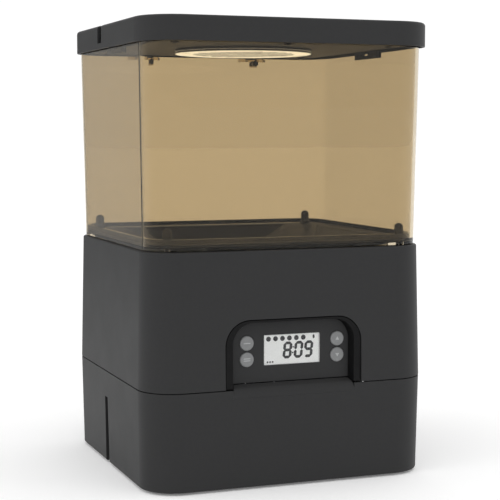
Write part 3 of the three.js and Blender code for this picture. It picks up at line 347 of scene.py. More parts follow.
def surfaceMaterial(name, look):  # opaque finish with grain, edge colour and dust; the edge colour is rubbed wear on most finishes and a painted highlight on the hopper and display surround, and the optional rim and glow colours paint shade on upright faces and light on level ones
    material, tree, shader = newMaterial(name)
    look = {"second": look["base"], "rough": 0.5, "roughVary": 0.08, "grain": 0.05, "scale": 1.0,
            "stretch": (1.0, 1.0, 1.0), "wornAndHighlightColor": None, "wearAndHighlight": 0.6, "radius": 0.0008, "dust": 0.0,
            "metal": 0.0, "rim": None, "paintedGlow": None, "set": {}, **look}
    texture = useGroup(tree, grain, Scale=look["scale"], Stretch=look["stretch"])
    color = mixColor(tree, texture["Tone"], look["base"], look["second"])
    rough = ranged(tree, texture["Patch"], 0.0, 1.0, look["rough"] - look["roughVary"],
                   look["rough"] + look["roughVary"])
    if look["wornAndHighlightColor"]:
        mask = useGroup(tree, wearAndHighlight, Radius=look["radius"], Amount=look["wearAndHighlight"])["Mask"]
        color = mixColor(tree, mask, color, look["wornAndHighlightColor"])
    if look["dust"]:
        mask = useGroup(tree, dust, Amount=look["dust"])["Mask"]
        color = mixColor(tree, mask, color, dustColor)
        rough = times(tree, rough, times(tree, mask, 0.25), "ADD")
    bump = addNode(tree, "Bump", {"Height": texture["Height"], "Strength": look["grain"],
                                  "Distance": bumpDepth})
    tree.links.new(color, shader.inputs["Base Color"])
    tree.links.new(rough, shader.inputs["Roughness"])
    tree.links.new(bump.outputs["Normal"], shader.inputs["Normal"])
    shader.inputs["Metallic"].default_value = look["metal"]
    # pale cover only: upright faces take the rim colour as painted shade, and level faces emit a painted glow
    # though the cover is no lamp
    if look["rim"]:
        color = mixColor(tree, sideFacing(tree), color, look["rim"])
        paintedGlow = mixColor(tree, sideFacing(tree), look["paintedGlow"], (0.0, 0.0, 0.0))
        tree.links.new(color, shader.inputs["Base Color"])
        tree.links.new(paintedGlow, shader.inputs["Emission Color"])
    for socket, value in look["set"].items():
        shader.inputs[socket].default_value = value
    return material


def clearMaterial(name, tint, shadowTint, rough, ior, streaks):  # tinted, lets lamp light through
    material, tree, shader = newMaterial(name)
    texture = useGroup(tree, grain, Scale=streaks["scale"], Stretch=streaks["stretch"])
    color = mixColor(tree, texture["Patch"], tint, [c * streaks["tone"] for c in tint])
    rubbed = ranged(tree, texture["Patch"], 0.0, 1.0, rough * 0.6, rough * 1.4)
    bump = addNode(tree, "Bump", {"Height": texture["Patch"], "Strength": streaks["bump"],
                                  "Distance": bumpDepth})
    tree.links.new(color, shader.inputs["Base Color"])
    tree.links.new(rubbed, shader.inputs["Roughness"])
    tree.links.new(bump.outputs["Normal"], shader.inputs["Normal"])
    shader.inputs["Transmission Weight"].default_value = 1.0
    shader.inputs["IOR"].default_value = ior
    through = addNode(tree, "BsdfTransparent", {"Color": (*shadowTint, 1.0)})
    path = addNode(tree, "LightPath")
    mixed = addNode(tree, "MixShader", {0: path.outputs["Is Shadow Ray"], 1: shader.outputs["BSDF"],
                                        2: through.outputs["BSDF"]})
    tree.links.new(mixed.outputs["Shader"], tree.nodes["Material Output"].inputs["Surface"])
    return material


print("finishes")
finishes = {
    "charcoal_plastic": surfaceMaterial("charcoalPlastic", {
        "base": (0.0250, 0.0252, 0.0258), "second": (0.0270, 0.0272, 0.0278), "rough": 0.50,
        "roughVary": 0.015, "grain": 0.10, "wornAndHighlightColor": (0.050, 0.050, 0.053), "wearAndHighlight": 0.5, "dust": 0.06,
        "set": {"Specular IOR Level": 0.15}}),
    "black_plastic": surfaceMaterial("blackPlastic", {
        "base": (0.0050, 0.0050, 0.0055), "second": (0.0075, 0.0075, 0.0080), "rough": 0.42,
        "grain": 0.07, "scale": 1.3, "wornAndHighlightColor": (0.035, 0.035, 0.036), "wearAndHighlight": 0.5, "dust": 0.06}),
    "smoked_amber": clearMaterial("smokedAmber", (0.645, 0.550, 0.392), (0.66, 0.56, 0.40), 0.006, 1.30,
                                  {"scale": 0.25, "stretch": (1.0, 1.0, 0.15), "tone": 0.985, "bump": 0.002}),
    "black_rubber": surfaceMaterial("blackRubber", {
        "base": (0.010, 0.010, 0.010), "second": (0.018, 0.018, 0.017), "rough": 0.78, "grain": 0.22,
        "scale": 0.8, "dust": 0.25}),
    "silicone": surfaceMaterial("paleSilicone", {
        "base": (0.60, 0.57, 0.48), "second": (0.66, 0.63, 0.55), "rough": 0.62, "grain": 0.08,
        "set": {"Subsurface Weight": 0.12, "Subsurface Radius": (0.004, 0.003, 0.002)}}),
    # level faces glow as painted light, and the near-black rim colour on upright faces is painted shade on the
    # cover's edge
    "pale_cover": surfaceMaterial("paleCover", {
        "base": (0.86, 0.85, 0.70), "second": (0.80, 0.79, 0.64), "rough": 0.30, "grain": 0.04,
        "wornAndHighlightColor": (0.62, 0.60, 0.48), "wearAndHighlight": 0.3,
        "rim": (0.03, 0.03, 0.028), "paintedGlow": (1.0, 1.0, 0.95), "set": {"Emission Strength": 1.05}}),
    # the pack is darkened so the cover's vents read as dark stripes: painted shade in the vents
    "paper_pack": surfaceMaterial("paperPack", {
        "base": (0.42, 0.43, 0.37), "second": (0.34, 0.35, 0.30), "rough": 0.88, "grain": 0.5,
        "scale": 0.5, "stretch": (1.0, 0.35, 1.0)}),
    "grey_button": surfaceMaterial("greyButton", {
        "base": (0.165, 0.169, 0.171), "second": (0.190, 0.194, 0.196), "rough": 0.48, "grain": 0.10,
        "wornAndHighlightColor": (0.36, 0.36, 0.36), "wearAndHighlight": 0.5}),
    "clear_window": clearMaterial("clearWindow", (0.99, 0.99, 0.99), (0.97, 0.975, 0.975), 0.02, 1.25,
                                  {"scale": 0.4, "stretch": (1.0, 1.0, 1.0), "tone": 0.995, "bump": 0.002}),
    "lcd_glass": surfaceMaterial("displayGlass", {
        "base": (0.90, 0.91, 0.895), "second": (0.87, 0.88, 0.865), "rough": 0.32, "grain": 0.01}),
    "circuit_board": surfaceMaterial("circuitBoard", {
        "base": (0.010, 0.075, 0.030), "second": (0.016, 0.120, 0.048), "rough": 0.36, "grain": 0.20,
        "scale": 0.5, "wornAndHighlightColor": (0.22, 0.17, 0.08), "wearAndHighlight": 0.5}),
    "steel": surfaceMaterial("brushedSteel", {
        "base": (0.56, 0.56, 0.57), "second": (0.46, 0.46, 0.47), "rough": 0.27, "roughVary": 0.07,
        "grain": 0.10, "scale": 0.6, "stretch": (1.0, 0.06, 1.0), "metal": 1.0,
        "wornAndHighlightColor": (0.72, 0.72, 0.73), "wearAndHighlight": 0.4}),
    "brass": surfaceMaterial("turnedBrass", {
        "base": (0.62, 0.44, 0.16), "second": (0.50, 0.35, 0.12), "rough": 0.30, "grain": 0.10,
        "stretch": (1.0, 1.0, 0.2), "metal": 1.0, "wornAndHighlightColor": (0.80, 0.62, 0.30), "wearAndHighlight": 0.4}),
    "white_nylon": surfaceMaterial("whiteNylon", {
        "base": (0.74, 0.72, 0.64), "second": (0.66, 0.64, 0.57), "rough": 0.45, "grain": 0.08,
        "set": {"Subsurface Weight": 0.1, "Subsurface Radius": (0.003, 0.002, 0.002)}}),
    "cell_sleeve": surfaceMaterial("cellSleeve", {
        "base": (0.030, 0.065, 0.140), "second": (0.040, 0.085, 0.170), "rough": 0.28, "grain": 0.03,
        "wornAndHighlightColor": (0.45, 0.45, 0.46), "wearAndHighlight": 0.7, "metal": 0.4}),
}
darkInk = surfaceMaterial("darkInk", {"base": (0.012, 0.013, 0.015), "second": (0.020, 0.021, 0.023),
                                      "rough": 0.5, "grain": 0.01})
paleInk = surfaceMaterial("paleInk", {"base": (0.33, 0.34, 0.34), "second": (0.39, 0.40, 0.40),
                                      "rough": 0.5, "grain": 0.02})
glossRubber = surfaceMaterial("glossRubber", {
    "base": (0.004, 0.004, 0.004), "second": (0.006, 0.006, 0.006), "rough": 0.10, "roughVary": 0.04,
    "grain": 0.01, "set": {"Specular IOR Level": 0.7}})
# a darker, duller copy of the black plastic: painted shade for the recessed display surround and the lid
# latches, with its edge colour a painted highlight
shadeDarkenedPlastic = surfaceMaterial("shadeDarkenedPlastic", {
    "base": (0.0028, 0.0028, 0.0030), "second": (0.0045, 0.0045, 0.0048), "rough": 0.55, "grain": 0.05,
    "wornAndHighlightColor": (0.03, 0.03, 0.031), "wearAndHighlight": 0.4, "set": {"Specular IOR Level": 0.14}})
# the edge colour here is a painted highlight along the hopper's edges, not wear
hopperPlastic = surfaceMaterial("hopperPlastic", {
    "base": (0.0030, 0.0030, 0.0032), "second": (0.0042, 0.0042, 0.0045), "rough": 0.40, "roughVary": 0.02,
    "grain": 0.02, "scale": 2.0, "wornAndHighlightColor": (0.30, 0.29, 0.26), "wearAndHighlight": 1.0, "radius": 0.0012,
    "set": {"Specular IOR Level": 0.22}})


def dressCadNode(node, slot, edge):  # a CAD node that keeps its own shape
    piece = frame["nodes"][node]
    piece.data.materials.clear()
    piece.data.materials.append(finishes[slot])
    piece.data.polygons.foreach_set("use_smooth", [True] * len(piece.data.polygons))
    piece.modifiers.new("weld", "WELD").merge_threshold = 1e-6
    flat = piece.modifiers.new("flat faces whole", "DECIMATE")
    flat.decimate_type = "DISSOLVE"
    flat.angle_limit = math.radians(0.5)
    if edge:
        softEdges(piece, edge, 2, 40)
    split = piece.modifiers.new("sharp edges", "EDGE_SPLIT")
    split.split_angle = math.radians(smoothAngle)
    piece.modifiers.new("flat faces stay flat", "WEIGHTED_NORMAL").keep_sharp = True


slotOf = {s["node"]: s["material_slot"] for s in frame["record"]["subparts"]}
bodyOf = {n: body for body, members in frame["record"]["behaviour"]["bodies"].items() for n in members}


lid = {"width": 226.4, "depth": 221, "bottom": 322, "corner": 30, "wall": 2, "ceiling": 2.4, "topEdge": 2.6,
       "bottomEdge": 0.5, "segments": 18, "slotDepth": 7.4, "slotWidth": 10.6, "slotRise": 4.4, "slotY": 12,
       "knuckle": 3, "knuckleHalf": 4.6, "spread": 49, "pin": 1.5, "pinReach": 20}
linerScrew = {"places": [(84, 82.5), (-84, 82.5), (-84, -85.5), (84, -85.5), (0, 88.5), (0, -91.5)],
              "profile": [(0, -1.6), (1.6, -1.6), (2.7, -1.1), (3.1, -0.3), (3.1, -0.05), (0, -0.05)],
              "steps": 28, "slot": 1.7, "slotFrom": -3, "slotTo": -1}


def buildLid():
    low, high = boxOf("lid_shell")
    bottom, top = lid["bottom"], high.z
    middle = low.y + lid["depth"] / 2
    inside = [lid["width"] - 2 * lid["wall"], lid["depth"] - 2 * lid["wall"]]
    pad = bodyMiddle + lid["slotY"]
    slots = []
    for side in (-1, 1):
        x = sorted((side * (lid["width"] / 2 - lid["slotDepth"]), side * (lid["width"] / 2 + 3)))
        slots.append(block((x[0], pad - lid["slotWidth"] / 2, bottom + lid["slotRise"]),
                           (x[1], pad + lid["slotWidth"] / 2, top + 2)))
    hingeY, hingeZ = middleOf("hinge_pin_left")[1:]
    knuckles, holes = [], []
    for side in (-1, 1):
        x = side * lid["spread"]
        knuckles.append(cylinder(lid["knuckle"], (x - lid["knuckleHalf"], hingeY, hingeZ),
                                 (x + lid["knuckleHalf"], hingeY, hingeZ)))
        knuckles.append(block((x - lid["knuckleHalf"], middle + lid["depth"] / 2 - 1, hingeZ),
                              (x + lid["knuckleHalf"], hingeY, hingeZ + lid["knuckle"])))
        holes.append(cylinder(lid["pin"], (x - lid["pinReach"], hingeY, hingeZ),
                              (x + lid["pinReach"], hingeY, hingeZ)))
    outer = roundedBlock(*centred(lid["width"], lid["depth"], bottom, top, middle), lid["corner"],
                         lid["segments"], lid["topEdge"], lid["bottomEdge"])
    hollow = roundedBlock(*centred(*inside, bottom - 2, top - lid["ceiling"], middle),
                          lid["corner"] - lid["wall"], lid["segments"])
    made = buildPiece("lid_cover", outer, "lid", "charcoal_plastic", joins=knuckles,
                      cuts=[hollow, *slots, *holes])
    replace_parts(made, "lid_shell")
    under = boxOf("lid_liner")[0].z
    for index, (x, y) in enumerate(linerScrew["places"]):
        head = turned([(r, under + z) for r, z in linerScrew["profile"]], (x, bodyMiddle + y, 0),
                      linerScrew["steps"])
        buildPiece(f"liner_screw_{index + 1}", head, "lid", "black_plastic",
                   cuts=crossSlot(x, bodyMiddle + y, under + linerScrew["slotFrom"],
                                  under + linerScrew["slotTo"], linerScrew["slot"]))


tank = {"flare": 5, "wall": 2.5, "corner": 24.8, "floor": 2, "openWidth": 194, "openDepth": 186,
        "openCorner": 32, "rim": 0.7, "footEdge": 0.8, "segments": 18, "screwHole": 1.8, "boltHole": 1.8,
        "boltReach": 5}


def buildTank():
    low, high = boxOf("tank")
    width, depth = high.x - low.x - tank["flare"], high.y - low.y - tank["flare"]
    outer = leaningBlock(width, depth, high.x - low.x, high.y - low.y, low.z, high.z, tank["corner"],
                         segments=tank["segments"], topEdge=tank["rim"], bottomEdge=tank["rim"])
    foot = low.z + tank["floor"]
    rise = (foot - low.z) / (high.z - low.z) * tank["flare"]
    wall = 2 * tank["wall"]
    over = (high.z + 1 - foot) / (high.z - foot)
    inner = leaningBlock(width + rise - wall, depth + rise - wall,
                         width + rise - wall + (tank["flare"] - rise) * over,
                         depth + rise - wall + (tank["flare"] - rise) * over,
                         foot, high.z + 1, tank["corner"] - tank["wall"], segments=tank["segments"],
                         bottomEdge=tank["footEdge"])
    opening = roundedBlock(*centred(tank["openWidth"], tank["openDepth"], low.z - 1, foot + 1),
                           tank["openCorner"])
    holes = []
    for name in corners:
        x, y = middleOf("tank_screw_" + name)[:2]
        holes.append(cylinder(tank["screwHole"], (x, y, low.z - 1), (x, y, foot + 1)))
    for side in ("left", "right"):
        a, b = boxOf("hinge_bolt_" + side)
        x, _, z = middleOf("hinge_bolt_" + side)
        holes.append(cylinder(tank["boltHole"], (x, a.y - tank["boltReach"], z),
                              (x, b.y + tank["boltReach"], z)))
    made = buildPiece("clear_tank", outer, "body", "smoked_amber", cuts=[inner, opening, *holes])
    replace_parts(made, "tank")


housing = {"corner": 27, "wall": 2.6, "taper": 4, "deck": 2.6, "topEdge": 1.3, "bottomEdge": 0.4,
           "segments": 18, "mouthHalf": 53.5, "mouthTop": 124, "mouthDepth": 6, "mouthRadius": 19,
           "bayHalf": 66.5, "bayTop": 106.5, "bayDepth": 12, "bayRadius": 20, "edge": 0.5}


def buildHousing():
    low, high = boxOf("housing")
    width, depth = high.x - low.x, high.y - low.y
    shell = leaningBlock(width, depth, width - housing["taper"], depth - housing["taper"], low.z, high.z,
                         housing["corner"], segments=housing["segments"], topEdge=housing["topEdge"],
                         bottomEdge=housing["bottomEdge"])
    wall = 2 * housing["wall"]
    inner = leaningBlock(width - wall, depth - wall, width - wall - housing["taper"],
                         depth - wall - housing["taper"], low.z - 1, high.z - housing["deck"],
                         housing["corner"] - housing["wall"])
    opening = roundedBlock(*centred(tank["openWidth"], tank["openDepth"], high.z - 6, high.z + 2),
                           tank["openCorner"])
    mouth = archBlock((-housing["mouthHalf"], low.y - 4, low.z - 5),
                      (housing["mouthHalf"], low.y + housing["mouthDepth"], housing["mouthTop"]),
                      housing["mouthRadius"])
    bay = archBlock((-housing["bayHalf"], high.y - housing["bayDepth"], low.z - 5),
                    (housing["bayHalf"], high.y + 4, housing["bayTop"]), housing["bayRadius"])
    made = buildPiece("housing_shell", shell, "body", "charcoal_plastic", cuts=[inner, opening, mouth, bay],
                      edge=housing["edge"])
    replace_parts(made, "housing")


base = {"depth": 215, "top": 73.4, "corner": 27, "wall": 2.6, "taper": 2.5, "bottomEdge": 1.6, "topEdge": 0.4,
        "segments": 18, "slotY": 8, "slotTop": 53, "slotWide": 9.6, "slotNarrow": 7.4, "slotDepth": 12,
        "sillHalf": 45, "sillFront": 47.7, "sillLow": 6, "sillRise": 2.6, "sillDepth": 7.7, "sillCurve": 4.5,
        "footGap": 0.3, "footDepth": 1.1, "edge": 0.4, "postX": 97, "postY": 50, "screwHole": 3.3,
        "screwDepth": 1.9, "inlet": 5.8, "inletDepth": 8, "doorGap": 0.3}
baseScrew = {"profile": [(0, 0), (2.0, 0), (2.8, 0.5), (2.8, 1.3), (0, 1.3)], "steps": 28, "slot": 1.6,
             "slotFrom": -1, "slotTo": 0.6}


def slotCutter(side, outer, low):
    cutter = block((0, -base["slotWide"] / 2, low - 2),
                   (base["slotDepth"], base["slotWide"] / 2, base["slotTop"]))
    for v in cutter.verts:
        if v.co.z > base["slotTop"] * mm - 1e-6:
            v.co.y *= base["slotNarrow"] / base["slotWide"]
    x = outer + 2 - base["slotDepth"] if side > 0 else -outer - 2
    bmesh.ops.translate(cutter, vec=Vector((x, bodyMiddle + base["slotY"], 0)) * mm, verts=cutter.verts)
    return cutter


def buildBase():
    low, high = boxOf("base")
    width, depth, top = high.x - low.x, base["depth"], base["top"]
    front = bodyMiddle - depth / 2
    shell = leaningBlock(width - base["taper"], depth - base["taper"], width, depth, low.z, top,
                         base["corner"], segments=base["segments"], bottomEdge=base["bottomEdge"],
                         topEdge=base["topEdge"])
    wall = 2 * base["wall"]
    inner = leaningBlock(width - base["taper"] - wall, depth - base["taper"] - wall, width - wall, depth - wall,
                         low.z + base["wall"], top + 1, base["corner"] - base["wall"])
    sill = block((-base["sillFront"], front, top - base["sillLow"]),
                 (base["sillFront"], front + base["sillDepth"], top))
    for v in sill.verts:
        if v.co.y > (front + 3) * mm:
            v.co.x *= base["sillHalf"] / base["sillFront"]
            if v.co.z > (top - 1) * mm:
                v.co.z += (base["sillRise"] + 0.6) * mm
        elif v.co.z < (top - 1) * mm:
            v.co.y += 0.11 * mm
    brow = [e for e in edgesAlong(sill, 0)
            if all(v.co.z > (top - 1) * mm and v.co.y < (front + 1) * mm for v in e.verts)]
    roundEdges(sill, brow, base["sillCurve"], 8)
    sillRoom = block((-base["sillFront"], front - 2, top - base["sillLow"]),
                     (base["sillFront"], front + 6, top + 2))
    bay = archBlock((-housing["bayHalf"], front + depth - housing["bayDepth"], low.z + base["wall"]),
                    (housing["bayHalf"], front + depth + 4, housing["bayTop"]), housing["bayRadius"])
    doorLow, doorHigh = boxOf("battery_door")
    door = block((doorLow.x - base["doorGap"], doorLow.y - base["doorGap"], low.z - 1),
                 (doorHigh.x + base["doorGap"], doorHigh.y + base["doorGap"], low.z + 6))
    holes = []
    for name in corners:
        a, b = boxOf("foot_" + name)
        x, y = middleOf("foot_" + name)[:2]
        holes.append(cylinder((b.x - a.x) / 2 + base["footGap"], (x, y, low.z - 2),
                              (x, y, low.z + base["footDepth"])))
    for x in (-base["postX"], base["postX"]):
        for y in (bodyMiddle - base["postY"], bodyMiddle + base["postY"]):
            holes.append(cylinder(base["screwHole"], (x, y, low.z - 2), (x, y, low.z + base["screwDepth"])))
    inletRear = boxOf("power_inlet")[1].y
    x, _, z = middleOf("power_inlet")
    holes.append(cylinder(base["inlet"], (x, inletRear - base["inletDepth"], z),
                          (x, inletRear + base["inletDepth"], z)))
    slots = [slotCutter(side, width / 2, low.z) for side in (-1, 1)]
    made = buildPiece("base_shell", shell, "body", "charcoal_plastic",
                      cuts=[inner, bay, door, sillRoom, *holes, *slots], edge=base["edge"])
    combine(made, [sill], "UNION")
    smoothShading(made)
    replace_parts(made, "base")
    for index, (sx, sy) in enumerate(((1, 1), (-1, 1), (-1, -1), (1, -1))):
        x, y, foot = sx * base["postX"], bodyMiddle + sy * base["postY"], low.z + 0.5
        head = turned([(r, foot + z) for r, z in baseScrew["profile"]], (x, y, 0), baseScrew["steps"])
        buildPiece(f"base_screw_{index + 1}", head, "body", "steel",
                   cuts=crossSlot(x, y, foot + baseScrew["slotFrom"], foot + baseScrew["slotTo"],
                                  baseScrew["slot"]))


display = {"halfWidth": 53.0, "side": 5.0, "top": 1.7, "radius": 18.5, "pocketRadius": 15.9, "draft": 2.7,
           "edge": 0.55, "ink": 0.06, "inkGap": 0.02, "digitHeight": 10.4, "digitWidth": 4.9, "stroke": 2.1,
           "lean": 0.10, "digitLeft": 15.6, "digitFoot": 4.9, "digitGaps": (0, 3.9, 6.9), "colon": (0.30, 0.70),
           "colonGap": 1.9, "colonHalf": 0.75, "colonThick": 1.4, "dots": 6, "dot": 1.85, "dotLeft": 3.6,
           "dotPitch": 5.5, "dotDrop": 2.9}
segmentsOf = {"8": "abcdefg", "0": "abcdef", "9": "abcdfg"}


def segmentBar(bm, start, end, thick, place):  # one bar of a digit, with pointed ends
    start, end = Vector((start[0], 0, start[1])), Vector((end[0], 0, end[1]))
    along = (end - start).normalized()
    across = Vector((-along.z, 0, along.x)) * thick / 2
    nib = along * thick / 2
    outline = [start, start + nib + across, end - nib + across, end, end - nib - across, start + nib - across]
    pushForward(bm, [Vector(place) + point for point in outline], display["ink"])


def leanRight(bm, foot, amount):
    for v in bm.verts:
        v.co.x += (v.co.z - foot * mm) * amount


def buildDigits():
    low, high = boxOf("lcd_window")
    face = boxOf("lcd_module")[0].y - display["inkGap"]
    w, h, t = display["digitWidth"], display["digitHeight"], display["stroke"]
    foot = low.z + display["digitFoot"]
    bm = bmesh.new()
    ends = {"a": ((0, h), (w, h)), "b": ((w, h / 2), (w, h)), "c": ((w, 0), (w, h / 2)), "d": ((0, 0), (w, 0)),
            "e": ((0, 0), (0, h / 2)), "f": ((0, h / 2), (0, h)), "g": ((0, h / 2), (w, h / 2))}
    left = low.x + display["digitLeft"]
    for index, figure in enumerate("809"):
        x = left + index * w + display["digitGaps"][index]
        for bar in segmentsOf[figure]:
            (ax, az), (bx, bz) = ends[bar]
            segmentBar(bm, (ax, az), (bx, bz), t, (x, face, foot))
    for height in display["colon"]:
        spot = (left + w + display["colonGap"], face, foot + h * height)
        segmentBar(bm, (-display["colonHalf"], 0), (display["colonHalf"], 0), display["colonThick"], spot)
    leanRight(bm, foot, display["lean"])
    bmesh.ops.recalc_face_normals(bm, faces=bm.faces)
    buildPiece("display_digits", bm, "body", "lcd_glass", material=darkInk)

    marks = bmesh.new()
    for index in range(display["dots"]):
        place = (low.x + display["dotLeft"] + index * display["dotPitch"], face, high.z - display["dotDrop"])
        disc = [(0, 0), (display["dot"], 0), (display["dot"], display["ink"]), (0, display["ink"])]
        addMesh(marks, turned(disc, place, 20, (0, -1, 0)))
    for index in range(3):
        segmentBar(marks, (0, 0), (1.7, 0), 1.7, (low.x + 2.0 + index * 2.0, face, low.z + 1.9))
    segmentBar(marks, (0, 0), (0, 3.2), 1.5, (high.x - 4.4, face, high.z - 4.2))
    bmesh.ops.recalc_face_normals(marks, faces=marks.faces)
    buildPiece("display_marks", marks, "body", "lcd_glass", material=darkInk)


def buildDisplay():
    low, high = boxOf("display_frame")
    top = high.z - 0.2
    half = display["halfWidth"]
    band = archBlock((-half, low.y, low.z), (half, high.y, top), display["radius"])
    pocketHalf = half - display["side"]
    pocket = archBlock((-pocketHalf, low.y - 1, low.z - 4), (pocketHalf, high.y + 1, top - display["top"]),
                       display["pocketRadius"])
    for v in pocket.verts:
        if v.co.y > (low.y + high.y) / 2 * mm:
            v.co.x *= (pocketHalf - display["draft"]) / pocketHalf
    # the surround takes the darkened plastic: painted shade in the recess, with painted highlights on its edges
    made = buildPiece("display_surround", band, "body", "black_plastic", cuts=[pocket], edge=display["edge"],
                      material=shadeDarkenedPlastic)
    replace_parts(made, "display_frame")
    buildDigits()


button = {"radius": 5.4, "flange": 5.85, "flangeDepth": 1.2, "dish": 0.25, "dishShare": 0.4, "markGap": 0.01,
          "crown": [(0, 0.75), (-0.2, 0.32), (-0.6, 0.06), (-1.0, 0.0), (-1.7, 0.08)]}
mark = {"ink": 0.05, "arrow": [(-1.5, -1.0), (1.5, -1.0), (0, 1.5)], "barHalf": 2.6, "barThick": 0.35,
        "barPitch": 1.5}


def arrowMark(x, y, z, up):
    bm = bmesh.new()
    pushForward(bm, [(x + dx, y, z + dz * up) for dx, dz in mark["arrow"]], mark["ink"])
    bmesh.ops.recalc_face_normals(bm, faces=bm.faces)
    return bm


def barMark(x, y, z, bars):
    bm = bmesh.new()
    for index in range(bars):
        rise = (index - (bars - 1) / 2) * mark["barPitch"]
        addMesh(bm, block((x - mark["barHalf"], y - mark["ink"], z - mark["barThick"] + rise),
                          (x + mark["barHalf"], y, z + mark["barThick"] + rise)))
    return bm


def buildButtons():
    for level in ("upper", "lower"):
        for side in ("left", "right"):
            node = f"button_{level}_{side}"
            low, high = boxOf(node)
            x, _, z = middleOf(node)
            r, front = button["radius"], low.y
            deep = high.y - front
            ledge = deep - button["flangeDepth"]
            cap = turned([(0, deep), (button["flange"], deep), (button["flange"], ledge), (r, ledge),
                          *((r + dr, dz) for dr, dz in button["crown"]),
                          (r * button["dishShare"], button["dish"]), (0, button["dish"])],
                         (x, front, z), 48, (0, 1, 0))
            made = buildPiece(f"key_{level}_{side}", cap, bodyOf[node], "grey_button")
            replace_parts(made, node)
            up = 1 if level == "upper" else -1
            place = (x, front + button["dish"] - button["markGap"], z)
            sign = arrowMark(*place, up) if side == "right" else barMark(*place, 1 if level == "upper" else 2)
            buildPiece(f"mark_{level}_{side}", sign, bodyOf[node], "grey_button", material=paleInk)


hopper = {"width": 184, "depth": 176, "corner": 24, "plate": 2, "plateCorner": 20, "throat": 56,
          "throatTop": 152, "throatSteps": 56, "wall": 2, "screwHole": 1.8, "edge": 0.5}


def buildHopper():
    low, high = boxOf("hopper_floor")
    plate = roundedBlock((low.x, low.y, high.z - hopper["plate"]), high, hopper["plateCorner"], 13, 0.4, 0.3)
    hollow = bmesh.new()
    rims = []
    steps = hopper["throatSteps"]
    levels = ((high.z + 2, False), (high.z, False), (hopper["throatTop"], True), (low.z - 2, True))
    for height, isRound in levels:
        if isRound:
            ring = bmesh.ops.create_circle(hollow, segments=steps, radius=hopper["throat"] * mm)["verts"]
            turn = Matrix.Rotation(math.pi / steps, 3, "Z")
            bmesh.ops.rotate(hollow, cent=(0, 0, 0), matrix=turn, verts=ring)
            bmesh.ops.translate(hollow, vec=Vector((0, bodyMiddle, height)) * mm, verts=ring)
        else:
            mould = roundedBlock(*centred(hopper["width"], hopper["depth"], height, height + 1),
                                 hopper["corner"], 13)
            upper = [f for f in mould.faces if f.calc_center_median().z > (height + 1e-3) * mm]
            bmesh.ops.delete(mould, geom=upper, context="FACES")
            bmesh.ops.delete(mould, geom=list(mould.faces), context="FACES_ONLY")
            before = set(hollow.verts)
            addMesh(hollow, mould)
            ring = [v for v in hollow.verts if v not in before]
        rims.append(set(ring))
    loops = [[e for e in hollow.edges if all(v in ring for v in e.verts)] for ring in rims]
    for upper, lower in zip(loops, loops[1:]):
        bmesh.ops.bridge_loops(hollow, edges=upper + lower)
    for loop in (loops[0], loops[-1]):
        bmesh.ops.holes_fill(hollow, edges=loop, sides=0)
    bmesh.ops.recalc_face_normals(hollow, faces=hollow.faces)
    skin = hollow.copy()
    for v in skin.verts:
        reach = Vector((v.co.x, v.co.y - bodyMiddle * mm))
        grown = reach * (1 + hopper["wall"] * mm / reach.length)
        v.co.x, v.co.y = grown.x, bodyMiddle * mm + grown.y
        v.co.z = min(max(v.co.z, low.z * mm), (high.z - 0.5) * mm)
    holes = []
    for name in corners:
        x, y = middleOf("tank_screw_" + name)[:2]
        holes.append(cylinder(hopper["screwHole"], (x, y, high.z - 4), (x, y, high.z + 1)))
    made = buildPiece("hopper_funnel", plate, "body", "charcoal_plastic", joins=[skin], cuts=[hollow, *holes],
                      edge=hopper["edge"], material=hopperPlastic)
    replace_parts(made, "hopper_floor")


domedScrew = {"head": 11, "radius": 3.4, "domeSteps": 8, "tip": [(0, 0), (1.0, 0), (1.5, 1.5)], "shank": 1.5,
              "skirt": [(4.0, 0), (4.2, 0.3), (4.2, 1.3), (3.9, 1.8), (3.4, 2.1)], "steps": 36}


def buildTankScrews():
    for name in corners:
        low, high = boxOf("tank_screw_" + name)
        x, y = middleOf("tank_screw_" + name)[:2]
        head, top, r = high.z - domedScrew["head"], high.z, domedScrew["radius"]
        turns = [math.pi / 2 * i / domedScrew["domeSteps"] for i in range(domedScrew["domeSteps"])]
        screw = turned([*((tip, low.z + z) for tip, z in domedScrew["tip"]), (domedScrew["shank"], head),
                        *((skirt, head + z) for skirt, z in domedScrew["skirt"]),
                        *((r * math.cos(a), top - r + r * math.sin(a)) for a in turns), (0, top)],
                       (x, y, 0), domedScrew["steps"])
        made = buildPiece("domed_screw_" + name, screw, "body", "black_plastic")
        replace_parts(made, "tank_screw_" + name)


footRim = [(-3.2, 0.25), (-2.9, 0), (-1.0, 0), (-0.45, 0.18), (-0.12, 0.5), (0, 0.95)]


def buildFeet():
    for name in corners:
        low, high = boxOf("foot_" + name)
        x, y = middleOf("foot_" + name)[:2]
        r = (high.x - low.x) / 2
        profile = [(0, footRim[0][1]), *((r + dr, z) for dr, z in footRim), (r, high.z), (0, high.z)]
        made = buildPiece("rubber_foot_" + name, turned(profile, (x, y, 0), 40), "body", "black_rubber")
        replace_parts(made, "foot_" + name)


bay = {"wall": 2.2, "radius": 20, "innerRadius": 18, "chuteHalf": 23.1, "chuteFront": 25.9, "chuteRear": 54.1,
       "edge": 0.4}
bowl = {"corner": 18, "wall": 2.4, "taper": 3, "floor": 3, "segments": 14, "footEdge": 2.0, "rimEdge": 0.9,
        "innerEdge": 3, "gripHalf": 18, "gripLow": 22.4, "gripHigh": 34.4, "gripDepth": 10, "gripRadius": 5,
        "edge": 0.35}
insert = {"wall": 1.2, "rim": 3.3, "rimCorner": 17.5, "taper": 6, "corner": 14.2, "innerCorner": 13,
          "footEdge": 5, "innerEdge": 4}


